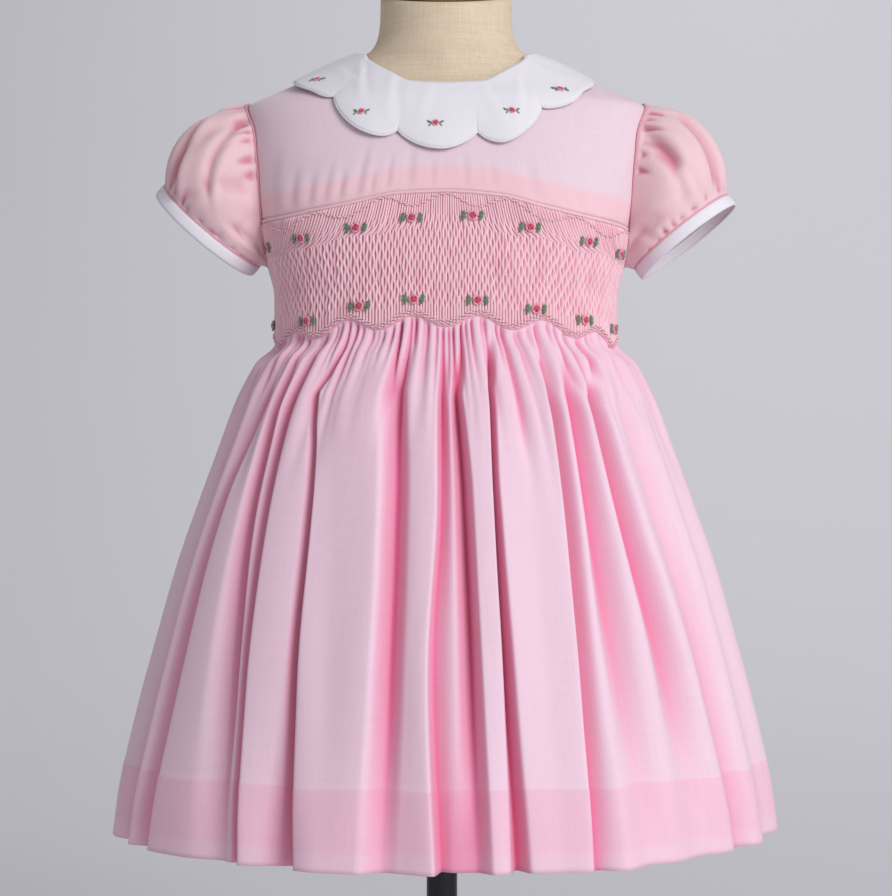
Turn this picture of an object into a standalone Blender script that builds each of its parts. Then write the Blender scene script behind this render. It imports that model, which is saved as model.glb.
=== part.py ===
"""A child's smocked dress, worn on a limbless dress form with its stand.

The dress faces -Y. The origin is under the stand on the form's axis, and +Z is up.
Tables hold millimetres and degrees; the meshes are in metres.
"""
import math

import bpy
import numpy as np

# Driving sizes, in millimetres
MM = 0.001
CLOTH = 1.2
SEAM_GAP = 0.3
HEM_HEIGHT = 220.0
SHOULDER_TIP = 664.3
NECK_SIDE = 695.0
UNDERARM = 566.0
WAIST_SIDE = 516.5
ARMHOLE_DEPTH = 30.0
SEAM_HALF = 0.35

# Inside of the bodice at each height: half width, depth in front, depth behind, roundness of the section
BODY = (
    # height, width, front, back, roundness
    (500.0, 104.0, 76.5, 70.0, 2.35),
    (545.0, 103.5, 76.0, 70.0, 2.35),
    (565.0, 107.5, 75.5, 70.0, 2.40),
    (583.0, 112.0, 74.0, 70.0, 2.50),
    (603.0, 116.5, 71.0, 69.0, 2.60),
    (628.0, 120.0, 64.0, 66.0, 2.60),
    (648.0, 122.0, 57.0, 62.0, 2.40),
    (659.0, 123.6, 52.5, 59.0, 2.20),
    (662.5, 123.0, 51.0, 58.0, 2.10),
    (664.3, 121.2, 50.0, 57.5, 2.05),
    (666.0, 117.6, 49.0, 56.5, 2.00),
    (673.0, 101.8, 45.5, 53.0, 1.80),
    (684.0, 77.3, 43.0, 48.5, 1.60),
    (691.0, 61.8, 42.4, 46.5, 1.60),
    (695.0, 53.0, 42.0, 45.5, 1.90),
)

# Mean surface of the skirt at each height, in the same columns
SKIRT = (
    (220.0, 201.5, 176.0, 166.0, 2.00),
    (247.0, 198.0, 170.0, 161.0, 2.00),
    (297.0, 187.0, 156.0, 149.0, 2.00),
    (334.0, 177.0, 146.0, 140.0, 2.02),
    (384.0, 162.7, 130.0, 126.0, 2.08),
    (421.0, 149.8, 119.0, 115.0, 2.12),
    (458.0, 136.2, 107.0, 104.0, 2.18),
    (483.0, 127.4, 98.0, 95.0, 2.22),
    (495.0, 121.9, 92.0, 89.0, 2.25),
    (507.0, 115.3, 85.5, 82.0, 2.30),
    (518.0, 107.6, 79.8, 74.0, 2.35),
    (535.0, 105.2, 77.7, 71.5, 2.35),
)

# Form below the bodice, in the same columns
FORM_HIP = (
    (380.0, 88.0, 62.0, 66.0, 2.20),
    (384.0, 94.0, 67.0, 72.0, 2.20),
    (400.0, 99.0, 70.0, 77.0, 2.25),
    (435.0, 101.0, 71.0, 78.0, 2.30),
    (470.0, 98.0, 69.0, 72.0, 2.30),
    (500.0, 97.0, 69.0, 65.0, 2.35),
)

# Neck of the form
FORM_NECK = (
    (697.0, 48.0, 41.6, 44.0, 2.00),
    (699.0, 46.0, 41.4, 43.2, 2.00),
    (703.0, 43.6, 41.0, 42.2, 2.00),
    (709.0, 41.7, 40.8, 41.4, 2.00),
    (716.0, 40.8, 40.6, 40.8, 2.00),
)
FORM_GAP = ((500.0, 5.0), (600.0, 3.0), (648.0, 1.9), (668.0, 1.8), (682.0, 1.0), (700.0, 0.9))
FORM_ROWS = (530.0, 565.0, 603.0, 630.0, 648.0, 658.0, 664.3, 668.0, 674.0, 682.0, 690.0, 694.0)
FORM_COLUMNS = 28
NECK_RADIUS = 40.4
NECK_TOP_FRONT = 722.0
NECK_TILT = math.radians(15.0)

# Front folds of the skirt, left to right: the angle from the front centre at four heights,
# how far the crease stands out at three, and the mesh columns from the crease before it
FOLD_HEIGHTS = (481.0, 423.0, 337.0, 223.0)
RISE_HEIGHTS = (481.0, 360.0, 223.0)
FRONT_FOLDS = (
    # upper, middle, lower, hem, rise_upper, rise_middle, rise_hem, columns
    (-90.0, -90.0, -90.0, -90.0, 0.0, 0.0, 0.0, 0),
    (-80.0, -80.0, -79.0, -77.0, 2.0, 2.5, 3.5, 3),
    (-71.0, -72.0, -71.5, -70.5, -3.0, -5.0, -6.0, 3),
    (-67.0, -68.0, -68.0, -67.5, 2.0, 4.0, 4.0, 3),
    (-62.5, -63.5, -63.5, -63.0, -4.0, -6.0, -5.0, 3),
    (-60.0, -61.2, -60.5, -60.0, 3.0, 5.0, 4.0, 2),
    (-57.5, -56.5, -54.2, -50.0, 3.0, 4.0, 2.0, 3),
    (-54.5, -53.5, -49.0, -43.5, -7.0, -7.0, -4.0, 3),
    (-52.5, -51.0, -46.6, -41.0, 3.0, 1.0, -1.5, 2),
    (-50.2, -48.2, -44.6, -39.5, -7.0, -7.0, -4.0, 2),
    (-48.0, -46.3, -43.2, -37.9, 4.0, 5.0, 4.0, 2),
    (-44.2, -38.6, -35.2, -31.0, 2.0, 2.0, -6.0, 4),
    (-42.5, -36.2, -33.2, -28.6, -8.0, -11.0, -9.0, 2),
    (-40.9, -35.0, -31.6, -26.8, 3.0, 5.0, 5.0, 2),
    (-36.5, -30.3, -26.0, -22.5, 4.0, 4.0, 8.0, 3),
    (-21.8, -18.1, -16.3, -15.8, 6.0, 8.0, 8.0, 4),
    (-16.5, -14.0, -12.4, -11.2, -6.0, -6.0, -1.0, 3),
    (-12.0, -9.4, -8.6, -8.0, 3.0, 3.0, 2.0, 3),
    (-3.5, -2.8, -4.2, -2.3, 6.0, 7.0, 9.0, 3),
    (-1.4, -1.2, -2.6, -0.8, -4.0, -3.0, -6.0, 2),
    (1.2, 1.8, 1.8, 1.6, 1.0, 1.0, -3.0, 2),
    (4.0, 5.4, 6.0, 5.6, -9.0, -11.0, -3.0, 3),
    (6.0, 7.5, 7.8, 8.4, 4.0, 5.0, 6.0, 2),
    (13.4, 12.2, 11.6, 11.2, 5.0, 6.0, 3.0, 4),
    (15.0, 13.4, 13.2, 13.2, -8.0, -9.0, -2.0, 2),
    (16.6, 14.8, 14.8, 15.2, 4.0, 4.0, 4.0, 2),
    (24.4, 21.9, 20.9, 20.0, 3.0, 3.0, 5.0, 3),
    (31.5, 30.0, 27.6, 25.0, 6.0, 7.0, 9.0, 3),
    (33.4, 31.8, 29.2, 26.6, -6.0, -5.0, 4.0, 2),
    (37.1, 35.5, 33.0, 31.0, 4.0, 4.0, 12.0, 3),
    (41.3, 39.6, 38.6, 38.0, -5.0, -6.0, 2.0, 3),
    (44.6, 43.9, 44.2, 42.9, 3.0, 4.0, 3.0, 3),
    (48.3, 48.6, 50.6, 51.4, -6.0, -7.0, -3.0, 3),
    (51.2, 52.0, 55.1, 57.5, 4.0, 5.0, 1.0, 2),
    (59.6, 60.0, 61.8, 62.3, -4.0, -5.0, -6.0, 3),
    (65.8, 66.7, 67.7, 67.5, 3.0, 3.0, 2.5, 3),
    (74.0, 74.5, 75.5, 76.0, -3.0, -4.0, -5.0, 3),
    (82.0, 82.0, 82.5, 83.0, 1.5, 2.0, 1.5, 3),
    (90.0, 90.0, 90.0, 90.0, 0.0, 0.0, 0.0, 2),
)

# Back folds: where each panel's crisp edge is at the waist and hem, measured from the right side
# round to the left, how deep the valley beside it is, and how wide that valley is at the hem
BACK_FOLDS = (
    # waist, hem, depth, valley
    (13.0, 11.0, 6.0, 4.0),
    (27.0, 25.0, 9.0, 5.0),
    (40.0, 38.0, 7.0, 4.0),
    (52.0, 52.5, 10.0, 5.0),
    (64.0, 64.0, 7.0, 4.5),
    (77.0, 78.0, 9.0, 5.0),
    (91.0, 92.0, 8.0, 4.0),
    (103.0, 105.0, 10.0, 5.0),
    (116.0, 118.5, 7.0, 4.0),
    (130.0, 131.5, 9.0, 5.0),
    (143.0, 146.0, 8.0, 4.5),
    (157.0, 160.0, 7.0, 4.0),
)
BACK_STEPS = 2
GATHER_DEPTH = 0.9
GATHER_REACH = 70.0
SKIRT_ROWS = (0.0, 0.015, 0.06, 0.13, 0.23, 0.36, 0.51, 0.67, 0.84, 1.0)

# Heights of the panels' rows at their side edges, from the neck down
SHOULDER_ROWS = (695.0, 690.0, 682.0, 674.0, 668.0, 664.3, 658.0, 645.0)
YOKE_ROWS_LOW = (622.0, 603.0)
BACK_ROWS_LOW = (622.0, 594.0, 566.0, 543.0, 516.5)

# Yoke seam, neck edge and lower edge of the smocking, by angle from the front centre
YOKE_SEAM = ((-77, 591.0), (-65, 591.5), (-50, 595.0), (-43, 597.0), (-21, 603.6), (0, 604.6),
             (24, 602.4), (42, 595.6), (56, 590.7), (77, 586.0))
NECK_EDGE = ((0, 671.6), (25, 672.8), (40, 678.6), (59, 687.5), (69, 692.5), (90, 695.0),
             (120, 694.0), (150, 690.0), (180, 688.0))
WAVE_MEAN = ((0, 529.0), (58, 526.0), (97, 520.0), (150, 515.5))
WAVE_PITCH = 39.0
WAVE_DEPTH = 3.6

# Smocking
SMOCK_COLUMNS = 96
SMOCK_STRAIGHT_TOP = (0.0, 0.1, 0.2)
SMOCK_TRELLIS = (0.265, 0.84, 10)
SMOCK_STRAIGHT_LOW = (0.92, 1.0)
SMOCK_GROOVE = 0.9
SMOCK_CREST = 2.1
SMOCK_INNER_EVERY = 4

# The yoke and the smocking stop short of the seam line, and the piping lies between them
PIPING_RADIUS = 0.75
PIPING_HALF_GAP = 1.1
PIPING_COLUMNS = 28
PIPING_END = 0.97
PANEL_END = 77.0
YOKE_COLUMNS = 22

# Collar
COLLAR_NOTCHES = (-178, -152, -122, -92, -57, -26, 17.5, 49, 87, 118, 149, 178)
COLLAR_WIDTH = 35.0
SCALLOP_DEPTH = 11.0
COLLAR_CLOTH = 1.0
SCALLOP_STEPS = (0.0, 0.1, 0.3, 0.5, 0.7, 0.9)
COLLAR_ROWS = (0.0, 0.3, 0.65, 1.0)
# Clearance over the yoke, height of its roll, and extra lift over the lapped back
COLLAR_CLEAR = 0.9
COLLAR_ROLL = 1.3
COLLAR_LAP_LIFT = 1.8
COLLAR_REACH = 62.0

# Sleeves: the cuff ring's ends in the front plane, its depth, and how far its front leans along the arm
CUFFS = {
    "left": dict(side=-1, outer=(-176.0, 613.0), inner=(-118.5, 563.0), depth=35.0, lean=5.6),
    "right": dict(side=1, outer=(177.0, 605.5), inner=(120.0, 561.0), depth=35.0, lean=-3.7),
}
CUFF_WIDTH = 7.0
CUFF_CLOTH = 1.6
SLEEVE_COLUMNS = 24
SLEEVE_ROWS = (0.0, 0.1, 0.24, 0.42, 0.62, 0.8, 0.92, 1.0)
SLEEVE_GATHERS = (0.0, 0.7, 0.5, 0.2, 0.15, 0.45, 0.5, 0.0)
# How far the cloth spreads to front and back as it leaves the armhole, and puffs before the cuff
SLEEVE_SPREAD = 0.9
SLEEVE_PUFF = 0.9

# Stand
BASE_RADIUS = 120.0
BASE_THICK = 8.0
POLE_RADIUS = 9.5
POLE_X = -2.5
CAP_THICK = 9.0

# Buttons down the back opening
BUTTON_HEIGHTS = (638.0, 604.0, 570.0, 536.0)
BUTTON_RADIUS = 5.5
BUTTON_THICK = 2.0
BUTTON_SEAT = 0.55
OVERLAP = 9.0

# Back opening: the share of each half's width where the lap starts and is full, and its lift
BACK_COLUMNS = (0.0, 0.08, 0.18, 0.3, 0.43, 0.56, 0.68, 0.79, 0.84, 0.89, 0.94, 1.0)
BACK_DEPTH = 60.0
LAP_FROM, LAP_TO = 0.79, 0.89
LAP_LIFT = CLOTH + SEAM_GAP + 0.1


def smooth(x, xs, ys):
    """Monotone cubic through (xs, ys): each inner slope is the harmonic mean of its two spans' slopes."""
    xs = np.asarray(xs, float)
    ys = np.asarray(ys, float)
    span = np.diff(xs)
    rise = np.diff(ys) / span
    slope = np.zeros(len(xs))
    slope[0], slope[-1] = rise[0], rise[-1]
    left, right = rise[:-1], rise[1:]
    same = left * right > 0
    slope[1:-1][same] = 2 * left[same] * right[same] / (left[same] + right[same])
    i = np.clip(np.searchsorted(xs, x) - 1, 0, len(xs) - 2)
    t = np.clip((np.asarray(x, float) - xs[i]) / span[i], 0, 1)
    low = (2 * t**3 - 3 * t**2 + 1) * ys[i] + (t**3 - 2 * t**2 + t) * span[i] * slope[i]
    high = (3 * t**2 - 2 * t**3) * ys[i + 1] + (t**3 - t**2) * span[i] * slope[i + 1]
    return low + high


def section(table, angle, height):
    """A point of a superellipse section: angle in radians from +X, height in mm."""
    width, front, back, power = (smooth(height, [r[0] for r in table], [r[k] for r in table])
                                 for k in (1, 2, 3, 4))
    depth = np.where(np.sin(angle) < 0, front, back)
    c, s = np.cos(angle), np.sin(angle)
    radius = ((np.abs(c) / width) ** power + (np.abs(s) / depth) ** power) ** (-1 / power)
    return np.stack([radius * c, radius * s, height + 0 * radius], -1)


def moved_out(table, angle, height, out):
    """A section point moved along the surface's outward normal by out."""
    angle, height, out = np.broadcast_arrays(np.asarray(angle, float), np.asarray(height, float), out)
    step_a, step_h = 1e-3, 0.2
    round_it = section(table, angle + step_a, height) - section(table, angle - step_a, height)
    up_it = section(table, angle, height + step_h) - section(table, angle, height - step_h)
    normal = np.cross(round_it, up_it)
    normal /= np.linalg.norm(normal, axis=-1, keepdims=True)
    return section(table, angle, height) + normal * out[..., None]


def body(angle, height, out):
    """The bodice's inside moved out, in mm."""
    return moved_out(BODY, angle, height, out)


def from_front(degrees):
    """Radians from +X for degrees counted from the front centre, + to the wearer's left."""
    return np.radians(np.asarray(degrees, float) - 90.0)


def armhole_half(height):
    """Half the armhole's opening along Y at a height, never less than half a seam."""
    middle = (SHOULDER_TIP + UNDERARM) / 2
    reach = (SHOULDER_TIP - UNDERARM) / 2
    part = np.clip(1 - ((np.asarray(height, float) - middle) / reach) ** 2, 0, 1)
    return np.maximum(ARMHOLE_DEPTH * np.sqrt(part), SEAM_HALF)


def edge_angle(height, back):
    """Angle, in radians from +X, of the panel's edge beside the right armhole or side seam."""
    height = np.asarray(height, float)
    y = armhole_half(height)
    width, front, rear, power = (smooth(height, [r[0] for r in BODY], [r[k] for r in BODY])
                                 for k in (1, 2, 3, 4))
    depth = rear if back else front
    x = width * (1 - (y / depth) ** power) ** (1 / power)
    return np.arctan2(y if back else -y, x)


def panel_front(top, bottom, columns, rows, out):
    """Grid over the front between two edges, each a height by angle, cut at the armholes and side seams.

    Rows go down, and columns go from the picture's left to its right.
    """
    t = np.linspace(-1, 1, columns + 1)[None, :]
    v = np.asarray(rows, float)[:, None]
    side_height = smooth(PANEL_END, *zip(*top)) * (1 - v) + smooth(PANEL_END, *zip(*bottom)) * v
    half = np.pi / 2 + edge_angle(side_height, back=False)
    angle = -np.pi / 2 + t * half
    degrees = np.degrees(angle) + 90
    height = smooth(degrees, *zip(*top)) * (1 - v) + smooth(degrees, *zip(*bottom)) * v
    return body(angle, height, out)


def girth(angle_degrees, height=530.0):
    """Length in mm along the section from the front centre to an angle, + to the right."""
    a = np.radians(np.linspace(-95, 95, 761))
    p = section(BODY, a - np.pi / 2, height + 0 * a)
    run = np.concatenate([[0], np.cumsum(np.linalg.norm(np.diff(p, axis=0), axis=1))])
    run -= np.interp(0, a, run)
    return np.interp(np.radians(angle_degrees), a, run)


def wave_edge(degrees):
    """Height of the last smocking row: a wave whose high points lie under the flowers."""
    run = girth(degrees)
    mean = smooth(np.abs(run), *zip(*WAVE_MEAN))
    return mean - WAVE_DEPTH * np.cos(2 * np.pi * run / WAVE_PITCH)


def grid_faces(rows, columns, closed=False, start=0):
    """Quads of a grid of points: rows go down, columns run counter-clockwise seen from above."""
    r, c = np.meshgrid(np.arange(rows - 1), np.arange(columns if closed else columns - 1), indexing="ij")
    n = (c + 1) % columns
    quads = np.stack([r * columns + c, (r + 1) * columns + c, (r + 1) * columns + n, r * columns + n], -1)
    return (quads.reshape(-1, 4) + start).tolist()


def material(name, colour, roughness, metallic=0.0):
    """A Principled material."""
    m = bpy.data.materials.get(name) or bpy.data.materials.new(name)
    m.use_nodes = True
    shader = m.node_tree.nodes["Principled BSDF"]
    shader.inputs["Base Color"].default_value = (*colour, 1.0)
    shader.inputs["Roughness"].default_value = roughness
    shader.inputs["Metallic"].default_value = metallic
    return m


def place(name, points_mm, faces, finish, collection):
    """A mesh object from points in mm."""
    mesh = bpy.data.meshes.new(name)
    mesh.from_pydata((np.asarray(points_mm).reshape(-1, 3) * MM).tolist(), [], faces)
    mesh.validate()
    mesh.materials.append(finish)
    obj = bpy.data.objects.new(name, mesh)
    collection.objects.link(obj)
    mesh.shade_smooth()
    return obj


def cloth_panel(name, points, finish, collection, thick=CLOTH, closed=False):
    """A cloth wall: the middle surface as a grid, given its thickness by Solidify."""
    rows, columns = points.shape[:2]
    obj = place(name, points, grid_faces(rows, columns, closed), finish, collection)
    shell = obj.modifiers.new("cloth", "SOLIDIFY")
    shell.thickness = thick * MM
    shell.offset = 0.0
    return obj


def rim_faces(fine, coarse):
    """Triangles between a fine row of point numbers and a coarse one that has every k-th of its places."""
    k = (len(fine) - 1) // (len(coarse) - 1)
    faces = []
    for i in range(len(coarse) - 1):
        middle = i * k + k // 2
        faces += [(fine[j], fine[j + 1], coarse[i]) for j in range(i * k, middle)]
        faces.append((fine[middle], coarse[i + 1], coarse[i]))
        faces += [(fine[j], fine[j + 1], coarse[i + 1]) for j in range(middle, (i + 1) * k)]
    return faces


def relief_panel(name, outer, inner, finish, collection):
    """A wall with relief in its outer grid over a plain, coarser inner grid with the same corners."""
    rows, columns = outer.shape[:2]
    in_rows, in_columns = inner.shape[:2]
    start = rows * columns
    out_id = np.arange(start).reshape(rows, columns)
    in_id = np.arange(in_rows * in_columns).reshape(in_rows, in_columns) + start
    faces = grid_faces(rows, columns)
    faces += [f[::-1] for f in grid_faces(in_rows, in_columns, start=start)]
    edges = (
        (out_id[0], in_id[0], False),
        (out_id[-1], in_id[-1], True),
        (out_id[:, 0], in_id[:, 0], True),
        (out_id[:, -1], in_id[:, -1], False),
    )
    for fine, coarse, turned in edges:
        strip = rim_faces(fine.tolist(), coarse.tolist())
        faces += [f[::-1] for f in strip] if turned else strip
    points = np.concatenate([outer.reshape(-1, 3), inner.reshape(-1, 3)])
    return place(name, points, faces, finish, collection)


def make_yoke(parts, pink):
    """Plain front yoke, from the neck edge and shoulder seams down to the piping."""
    edge = [(a, h + PIPING_HALF_GAP) for a, h in YOKE_SEAM]
    neck = [(-a, h) for a, h in reversed(NECK_EDGE[1:6])] + list(NECK_EDGE[:6])
    t = np.linspace(-1, 1, YOKE_COLUMNS + 1)[None, :]
    bottom_side = smooth(PANEL_END, *zip(*edge))
    side_height = np.array([*SHOULDER_ROWS, *YOKE_ROWS_LOW, bottom_side])[:, None]
    v = (side_height - bottom_side) / (NECK_SIDE - bottom_side)
    angle = -np.pi / 2 + t * (np.pi / 2 + edge_angle(side_height, back=False))
    degrees = np.degrees(angle) + 90
    low = smooth(degrees, *zip(*edge))
    high = smooth(degrees, *zip(*neck))
    height = low + (high - low) * v
    cloth_panel("front_yoke", body(angle, height, CLOTH / 2), pink, parts)


def make_piping(parts, pink):
    """Fine cord sewn into the yoke seam, lying between the yoke and the smocking."""
    side = edge_angle(smooth(PANEL_END, *zip(*YOKE_SEAM)), back=False)
    angle = -np.pi / 2 + np.linspace(-PIPING_END, PIPING_END, PIPING_COLUMNS + 1) * (np.pi / 2 + side)
    line = body(angle, smooth(np.degrees(angle) + 90, *zip(*YOKE_SEAM)), 1.0) * MM
    curve = bpy.data.curves.new("yoke_piping", "CURVE")
    curve.dimensions = "3D"
    curve.bevel_depth = PIPING_RADIUS * MM
    curve.bevel_resolution = 1
    curve.use_fill_caps = True
    spline = curve.splines.new("POLY")
    spline.points.add(PIPING_COLUMNS)
    for point, spot in zip(spline.points, line):
        point.co = (*spot, 1.0)
    curve.materials.append(pink)
    obj = bpy.data.objects.new("yoke_piping", curve)
    parts.objects.link(obj)


def make_smocking(parts, pink):
    """Smocked front: straight reeds above and below, and diamonds between, over a plain inside."""
    rows = list(SMOCK_STRAIGHT_TOP) + list(np.linspace(*SMOCK_TRELLIS)) + list(SMOCK_STRAIGHT_LOW)
    top = [(a, h - PIPING_HALF_GAP) for a, h in YOKE_SEAM]
    fine = np.linspace(-90, 90, 181)
    bottom = list(zip(fine, wave_edge(fine) + SEAM_GAP / 2))
    i = np.arange(SMOCK_COLUMNS + 1)[None, :]
    j = np.arange(len(rows))[:, None]
    first = len(SMOCK_STRAIGHT_TOP)
    last = first + SMOCK_TRELLIS[2]
    shift = np.where((j >= first) & (j < last), j - first, (last - first - 1) * (j >= last))
    raised = (i + shift) % 2
    edge = np.minimum(np.minimum(i, SMOCK_COLUMNS - i) / 3.0, 1.0)
    edge = edge * np.where((j == 0) | (j == len(rows) - 1), 0.45, 1.0)
    out = SMOCK_GROOVE + (SMOCK_CREST - SMOCK_GROOVE) * raised * edge
    outer = panel_front(top, bottom, SMOCK_COLUMNS, rows, out)
    # The inner grid takes every few columns and the first, middle and last rows of the same mapping
    step = (len(rows) - 1) // 2
    inner = panel_front(top, bottom, SMOCK_COLUMNS, rows, 0.0)[::step, ::SMOCK_INNER_EVERY]
    relief_panel("smocked_front", outer, inner, pink, parts)


def make_backs(parts, pink):
    """Two plain back bodices; the right one laps over the left at the buttoned opening."""
    side_height = np.array([*SHOULDER_ROWS, *BACK_ROWS_LOW])[:, None]
    v = (NECK_SIDE - side_height) / (NECK_SIDE - WAIST_SIDE)
    side = edge_angle(side_height, back=True)
    t = np.array(BACK_COLUMNS)[None, :]
    middle = np.arctan2(BACK_DEPTH, -OVERLAP / 2)
    angle = side + (middle - side) * t
    neck = smooth(np.abs((np.degrees(angle) + 90)), *zip(*NECK_EDGE[:-1], (190, 688.0)))
    height = neck + (WAIST_SIDE - neck) * v
    lap = np.clip((t - LAP_FROM) / (LAP_TO - LAP_FROM), 0, 1)
    lap = lap * lap * (3 - 2 * lap)
    points = body(angle, height, CLOTH / 2 + LAP_LIFT * lap)
    cloth_panel("back_bodice_right", points, pink, parts)
    mirrored = body(angle, height, CLOTH / 2)[:, ::-1] * np.array([-1.0, 1.0, 1.0])
    cloth_panel("back_bodice_left", mirrored, pink, parts)


def fold_lines(folds, heights, rises, index_heights):
    """Angle and rise of every mesh column at each height, from a table of creases.

    Creases sit at whole column numbers. Between two, angle and rise ease from one to the next.
    """
    stops = np.cumsum([f[-1] for f in folds])
    places = np.arange(stops[-1] + 1)
    angle_at = np.array([smooth(places, stops, [f[k] for f in folds]) for k in range(len(heights))])
    rise_at = np.array([smooth(places, stops, [f[len(heights) + k] for f in folds]) for k in range(len(rises))])
    order_h = np.argsort(heights)
    order_r = np.argsort(rises)
    h = np.clip(index_heights, min(heights), max(heights))
    angle = np.array([smooth(h, np.array(heights)[order_h], angle_at[order_h, c]) for c in places]).T
    h = np.clip(index_heights, min(rises), max(rises))
    rise = np.array([smooth(h, np.array(rises)[order_r], rise_at[order_r, c]) for c in places]).T
    return angle, rise


def skirt_panel(name, folds, heights, rises, turn, top_edge, pink, parts):
    """Half of the skirt: a mean surface with folds that start as fine gathers at the waist."""
    v = np.asarray(SKIRT_ROWS)
    mean_top = float(np.mean(top_edge(np.linspace(-80, 80, 41))))
    row_height = mean_top + (HEM_HEIGHT - mean_top) * v
    angle, rise = fold_lines(folds, heights, rises, row_height)
    columns = angle.shape[1]
    even = np.linspace(folds[0][0], folds[-1][0], columns)[None, :]
    near_top = np.clip((row_height - max(heights)) / (mean_top - max(heights)), 0, 1)[:, None]
    angle = angle * (1 - 0.6 * near_top) + even * 0.6 * near_top
    grow = np.clip((mean_top - row_height) / 60.0, 0, 1)[:, None]
    rise = rise * grow * grow * (3 - 2 * grow)
    fade = np.clip(1 - (mean_top - row_height) / GATHER_REACH, 0, 1)[:, None] ** 1.5
    parity = np.where(np.arange(columns) % 2 == 0, 1.0, -1.0)[None, :]
    parity[:, [0, -1]] = 0.0
    rise = rise + GATHER_DEPTH * parity * fade
    height = top_edge(angle) + (HEM_HEIGHT - top_edge(angle)) * v[:, None]
    turned = np.radians(angle + turn)
    points = section(SKIRT, turned, height)
    outward = points * np.array([1.0, 1.0, 0.0])
    outward /= np.linalg.norm(outward, axis=-1, keepdims=True)
    points = points + outward * (rise + CLOTH / 2)[..., None]
    # The side edges stop half a seam short of the side
    points[:, [0, -1], 1] = (-1.0 if turn < 0 else 1.0) * SEAM_HALF
    cloth_panel(name, points, pink, parts)


def back_fold_rows():
    """The back's creases in the same columns as the front's: a crisp edge, then its valley."""
    rows = [(-90.0, -90.0, 0.0, 0.0, 0)]
    for waist, hem, depth, valley in BACK_FOLDS:
        crest = depth * 0.45
        rows.append((waist - 90.0, hem - 90.0, crest * 0.7, crest, 3))
        rows.append((waist + valley * 0.7 - 90.0, hem + valley - 90.0, -depth * 0.6, -depth * 0.55, BACK_STEPS))
    rows.append((90.0, 90.0, 0.0, 0.0, 3))
    return rows


def make_skirt(parts, pink):
    """Front and back of the skirt, sewn at the sides."""
    def front_top(degrees):
        return wave_edge(degrees) - SEAM_GAP / 2

    def back_top(degrees):
        return WAIST_SIDE - SEAM_GAP + 0 * np.asarray(degrees, float)

    skirt_panel("skirt_front", FRONT_FOLDS, FOLD_HEIGHTS, RISE_HEIGHTS, -90.0, front_top, pink, parts)
    skirt_panel("skirt_back", back_fold_rows(), (481.0, 223.0), (440.0, 223.0), 90.0, back_top, pink, parts)


def neck_down(degrees, width):
    """Heights of the points a given distance down the body from the neck edge."""
    reach = np.linspace(0, 1, 61)
    start = smooth(np.abs(degrees), *zip(*NECK_EDGE))
    heights = start[:, None] - COLLAR_REACH * reach[None, :]
    angle = from_front(degrees)[:, None] + 0 * heights
    line = section(BODY, angle, heights)
    run = np.linalg.norm(np.diff(line, axis=1), axis=-1)
    run = np.concatenate([np.zeros((len(degrees), 1)), np.cumsum(run, axis=1)], axis=1)
    return np.array([np.interp(width[i], run[i], heights[i]) for i in range(len(degrees))])


def scallop(degrees):
    """Collar width by angle: the plain width at each notch, fuller between them."""
    notches = np.array(COLLAR_NOTCHES, float)
    i = np.clip(np.searchsorted(notches, degrees) - 1, 0, len(notches) - 2)
    part = (degrees - notches[i]) / (notches[i + 1] - notches[i])
    return COLLAR_WIDTH + SCALLOP_DEPTH * np.sin(np.pi * np.clip(part, 0, 1)) ** 0.7


def make_collar(parts, white):
    """Flat scalloped collar, one piece round the front, open at the back."""
    degrees = []
    for a, b in zip(COLLAR_NOTCHES[:-1], COLLAR_NOTCHES[1:]):
        degrees += (a + (b - a) * np.array(SCALLOP_STEPS)).tolist()
    degrees = np.array(degrees + [COLLAR_NOTCHES[-1]])
    width = scallop(degrees)
    part = np.array(COLLAR_ROWS)[:, None]
    height = np.array([neck_down(degrees, width * p) for p in part[:, 0]])
    angle = from_front(degrees)[None, :] + 0 * height
    over_lap = np.clip((np.abs(degrees) - 160.0) / 10.0, 0, 1)[None, :]
    roll = COLLAR_ROLL * (1 - part) * part * 4
    lift = CLOTH + COLLAR_CLEAR + COLLAR_CLOTH / 2 + roll + COLLAR_LAP_LIFT * over_lap
    cloth_panel("collar", body(angle, height, lift), white, parts, thick=COLLAR_CLOTH)


def cuff_ring(cuff, along, psi, grow=0.0):
    """Points of the cuff's ring, shifted along the arm by along."""
    outer = np.array([cuff["outer"][0], 0.0, cuff["outer"][1]])
    inner = np.array([cuff["inner"][0], 0.0, cuff["inner"][1]])
    centre = (outer + inner) / 2
    half = np.linalg.norm(outer - inner) / 2
    across = (outer - inner) / (2 * half)
    arm = np.array([-cuff["side"] * across[2], 0.0, -abs(across[0])]) * np.array([-1.0, 1.0, 1.0])
    front = np.array([0.0, -1.0, 0.0]) + arm * cuff["lean"] / cuff["depth"]
    y_sign = cuff["side"]
    ring = centre + arm * along + (half + grow) * np.cos(psi)[:, None] * across
    ring = ring - (cuff["depth"] + grow) * np.sin(psi)[:, None] * y_sign * front
    return ring, across, arm, front


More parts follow.
